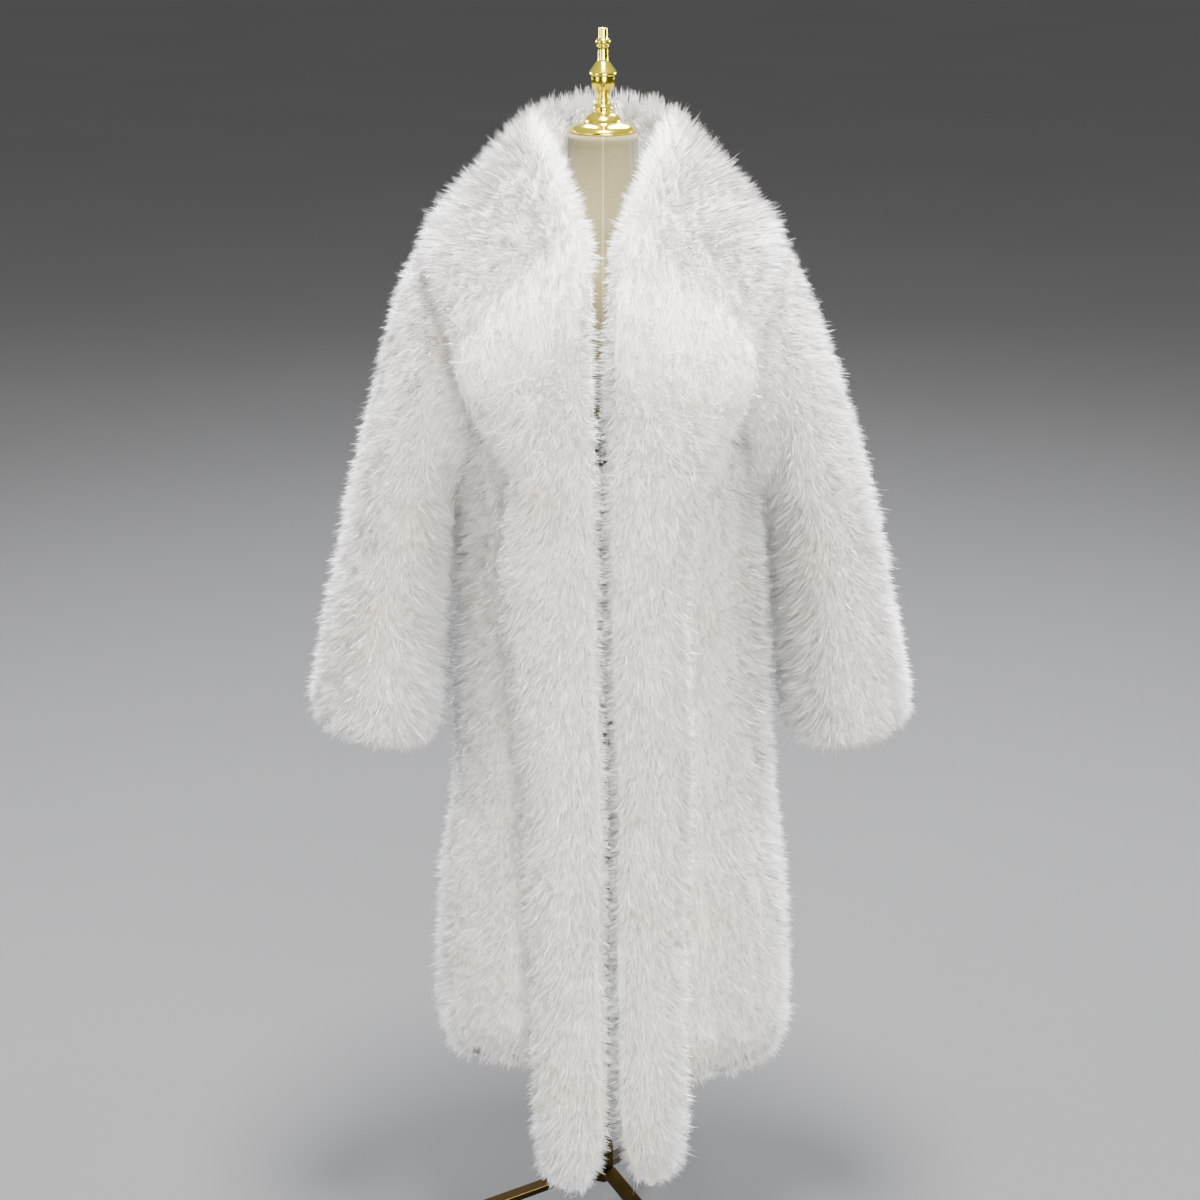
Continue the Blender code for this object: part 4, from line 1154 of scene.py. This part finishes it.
def bandSections(side):
    sections, bottom = [], bandEnds[side]
    levels = [row[0] for row in bandRows] + [coat["collarEnd"] - bottom]
    for above in levels:
        height = bottom + above
        width = through(bandRows, 1 if side > 0 else 2, above)
        fullness = float(through(bandRows, 3, above))
        insets = np.array([through(bandRows, 4, above), -through(bandRows, 5, above)])
        edges = np.array([coat["frontEdge"], width + coat["frontEdge"]]) + insets
        angles = angleAcross(edges, height, side)
        if above == levels[-1]:
            angles = float(frontEdge(height, side)), collarRows[-1][2]
        sections.append(flapSection(side, (angles[0], height), (angles[1], height), *collarRows[-1][4:],
                                    fullness=fullness))
    return np.array(sections)


# More sections and more points round each: a curve through four neighbours at a time, along both ways.
def curveThrough(points, finer, closed):
    wide = np.concatenate([points[-1:], points, points[:2]]) if closed else np.concatenate(
        [2 * points[:1] - points[1:2], points, 2 * points[-1:] - points[-2:-1]])
    a, b, c, d = wide[:-3], wide[1:-2], wide[2:-1], wide[3:]
    made = []
    for t in np.arange(finer) / finer:
        made.append(0.5 * (2 * b + (c - a) * t + (2 * a - 5 * b + 4 * c - d) * t ** 2
                           + (3 * b - a - 3 * c + d) * t ** 3))
    curve = np.stack(made, axis=1).reshape(-1, *points.shape[1:])
    return np.concatenate([curve, points[:1] if closed else points[-1:]])


# The pairs of nap are for a flat and for an upright collar.
flapLook = {
    "collar": {
        "flat": (0.17, 0.66), "area": 0.103, "triangles": 74000, "finerAlong": 2,
        "acrossNap": (0.45, 0.80), "downNap": (0.50, 0.30),
        "ending": 0.14,  # share of its length over which its end hangs over
        "hangOver": 3.6,
        "crossing": 0.003,  # how much longer the hairs are where left and right meet
        "crossingAbove": 0.0,
        "tighter": 0.0,  # how much less deep the undercoat lies there
        "sparser": 0.4,  # how many fewer hairs grow there, round the opening's middle
        "lowerEdge": 0.0,
        "pile": {"lean": 0.009, "ruffle": 0.6, "swirl": 0.4},
    },
    "band": {
        "flat": (0.095, 0.94), "area": 0.086, "triangles": 66000, "finerAlong": 7,
        "acrossNap": (0.30, 0.30), "downNap": (1.0, 1.0),
        "ending": 0.06,
        "hangOver": 1.9,
        "crossing": 0.003,
        "crossingAbove": 0.004,  # what is added to it above the hem
        "tighter": 0.55,
        "sparser": 0.0,
        "lowerEdge": 0.009,  # how much longer the hairs are at the left band's lower outer edge
        "pile": {"lean": 0.012, "tuftGather": 0.6},
    },
    # columns round a section: 0 foot, 4 to 24 underside, 28 edge tip, 32 edge top, 44 crest, 48 and 52
    # towards the neck; each pair of lists holds columns and the shares there
    "meeting": ((0, 5, 6, 45, 49, 56), (1, 1, 0, 0, 1, 1)),
    "underside": ((5, 10, 17, 19), (1, 0.12, 0.12, 1)),
    "meetingTop": 1.32,
    "neckNap": 1.6,  # how far the upright part's nap turns up towards the neck
    "standing": 0.6,  # share of the nap that is lost where left and right meet
    "shoulder": (1.34, 0.008, 0.007),  # height, and how much longer the hairs above it are
    "endExtra": 0.005,
    "underWeight": 0.6,
    "clothAbove": [46, 44, 42, 40, 37, 34, 31],
    "clothBelow": [6, 8, 10, 12, 16, 19, 23],
    "clothShare": 0.58,  # how far the cloth lies from the furred face towards the underside
    "rightCorner": {"column": 31, "share": 0.86, "down": 4.0, "out": 0.6},
}


# A collar half or a band. Its nap parts at the crest and runs down to both edges.
def makeFlap(node, kind, sections, side, upright):
    look, both = flapLook[kind], flapLook
    sections = curveThrough(sections, look["finerAlong"], False)
    ring = np.swapaxes(curveThrough(np.swapaxes(sections, 0, 1), 4, True), 0, 1)
    ring = evened(ring, 16, keepSize=True)
    centre = ring[:, :-1].mean(axis=1, keepdims=True)
    normals = normalsTowards(ring, ring - centre, closed=True)
    fanned = unit(evened(normals, 16))  # hairs fan out round the edges
    column, level, share = np.arange(ring.shape[1]), ring[..., 2], np.linspace(0, 1, len(ring))
    stand = np.interp(share, np.linspace(0, 1, len(upright)), upright)[:, None, None]
    across, fall = (pair[0] * (1 - stand) + pair[1] * stand for pair in (look["acrossNap"], look["downNap"]))
    end = ramp(share if kind == "band" else 1 - share, look["ending"], -look["ending"])[:, None]
    away = np.clip((45 - column) / 14, -1, 1)  # 1 towards the outer edge, -1 towards the neck
    neckSide = ramp(column, 44, 3) + (column <= 1)
    _, alongColumns = gridSteps(ring, closed=True)
    flow = -unit(alongColumns) * away[None, :, None] * across + down * fall
    flow -= down * both["neckNap"] * stand * neckSide[None, :, None]

    # where the two sides meet, the hairs stand across the gap
    meeting = np.interp(column, *both["meeting"]) * (level < both["meetingTop"])
    flow *= 1 + look["hangOver"] * end[..., None]
    flow *= 1 - both["standing"] * meeting[..., None] * (1 - end[..., None])
    # the right collar's lower outer edge hangs further than the left one's
    if (kind, side) == ("collar", -1):
        corner = both["rightCorner"]
        outerEdge = bell(column, corner["column"], 6) * bell(share[:, None], corner["share"], 0.12)
        flow += outerEdge[..., None] * (down * corner["down"] - np.array([corner["out"], 0, 0]))
    shoulder, outside, inside = both["shoulder"]
    extra = (look["crossing"] + look["crossingAbove"] * ramp(level, 0.34, 0.08)) * meeting
    extra = extra + ramp(level, shoulder, 0.06) * np.where(column < 46, outside, inside)
    extra = extra + both["endExtra"] * end
    extra += look["lowerEdge"] * bell(column, 30, 4) * ramp(level, 0.40, -0.08) * (side > 0)

    # the undercoat lies less deep at the ends, on the underside and at the bands' inner edges
    thickness = np.linalg.norm(ring[:, :-1] - centre, axis=-1).min(axis=1)
    thin = np.clip(thickness / np.median(thickness), 0.1, 1)[:, None] ** 1.5 + 0 * level
    under = thin * np.interp(column, *both["underside"]) * (1 - look["tighter"] * meeting)
    bed = undercoatBed(ring, fanned, under[..., None])
    ends = bordered(bed, 0)
    ends[[0, -1]] = bed[[0, -1], :-1].mean(axis=1, keepdims=True)
    undercoat = makeSurface(node + "_undercoat", ends, bordered(normals, 0), undercoatMaterial, closed=True)
    weight = np.where((column < 26) & (column > 5), both["underWeight"], 1.0)
    weight = weight * (1 - look["sparser"] * meeting * bell(level, 1.18, 0.07))
    weight[:, 6:19] = 0
    pile = growPile(node + "_pile", ring, fanned, flow, look["triangles"], weight=weight, closed=True,
                    extra=extra, thin=thin, **look["pile"])
    # the cloth lies half way between the furred face and the underside
    above, below, low = both["clothAbove"], both["clothBelow"], both["clothShare"]
    cloth = ring[:, above] * (1 - low) + ring[:, below] * low
    makeCloth(node, cloth, normals[:, above], undercoat, pile)


for name, side in (("left", 1), ("right", -1)):
    makeFlap("collar_" + name, "collar", collarSections(side), side, [row[7] for row in collarRows])
    makeFlap("band_" + name, "band", bandSections(side), side, [0.0, 0.0])
print("collar and bands ready")


def makeFloor():
    corners = np.array([[-1, -1, 0], [1, -1, 0], [1, 1, 0], [-1, 1, 0]]) * studioLook["floor"]
    linkMesh("floor", corners, np.array([[0, 1, 2, 3]]), makeFloorMaterial())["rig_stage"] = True


def addLight(name, place, aim, size, power, colour):
    light = bpy.data.lights.new(name, "AREA")
    light.shape, light.size, light.energy, light.color = "DISK", size, power, colour
    made = linkObject(name, light)
    made.location = place
    made.rotation_euler = (Vector(aim) - Vector(place)).to_track_quat("-Z", "Y").to_euler()


studioLook = {
    "floor": 40.0,
    "world": [(0.0, 0.30), (0.75, 1.0)],  # height of the direction, brightness
    "strength": 1.0,
    "darkFront": (-0.93, -0.70, 0.15),  # behind the camera the world dims between these Y, to this share
    "lens": 72.18,
    "camera": (-0.01465, -2.91306, 1.92),
    "tilt": 71,  # degrees from straight down
    "lights": [
        # name, place, aim, size, power, colour
        ("key", (0.15, -0.7, 4.6), (0, 0, 0.9), 1.1, 1080, (1.0, 0.99, 0.97)),
        ("front", (0.8, -3.6, 1.6), (0, 0, 0.4), 2.2, 310, (1.0, 0.99, 0.97)),
        ("fill", (-2.6, -2.0, 1.8), (0, 0, 0.6), 2.2, 70, (1.0, 0.99, 0.98)),
        ("back", (0.3, 2.4, 3.6), (0, 0, 1.2), 2.0, 480, (0.95, 0.98, 1.0)),
        ("rimLeft", (-2.6, 1.3, 1.9), (0, 0, 1.0), 1.4, 150, (0.92, 0.96, 1.0)),
        ("rimRight", (2.6, 1.3, 1.9), (0, 0, 1.0), 1.4, 150, (0.92, 0.96, 1.0)),
    ],
}


def makeStudio():
    sky = Finish("soft_studio", "worlds", "Background")
    direction = sky.node("ShaderNodeTexCoord", {}, {}, "Generated")
    stops = [(place, (grey * 0.985, grey * 0.99, grey)) for place, grey in studioLook["world"]]
    dark, bright, dim = studioLook["darkFront"]
    front = {"Value": direction.part("Y"), "From Min": dark, "From Max": bright,
             "To Min": dim * studioLook["strength"], "To Max": studioLook["strength"]}
    sky.feed(Color=sky.node("ShaderNodeValToRGB", {"stops": stops}, {0: direction.part("Z")}),
             Strength=sky.node("ShaderNodeMapRange", {}, front))
    bpy.context.scene.world = sky.made
    for light in studioLook["lights"]:
        addLight(*light)


def makeCamera():
    data = bpy.data.cameras.new("camera")
    data.lens, data.sensor_width = studioLook["lens"], 36
    made = linkObject("camera", data)
    made.location, made.rotation_euler = studioLook["camera"], (radians(studioLook["tilt"]), 0, 0)
    bpy.context.scene.camera = made


makeFloor()
makeStudio()
makeCamera()
print("studio ready")

added = [made.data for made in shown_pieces() if "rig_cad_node" not in made]
print("triangles added:", sum(len(mesh.loops) - 2 * len(mesh.polygons) for mesh in added))
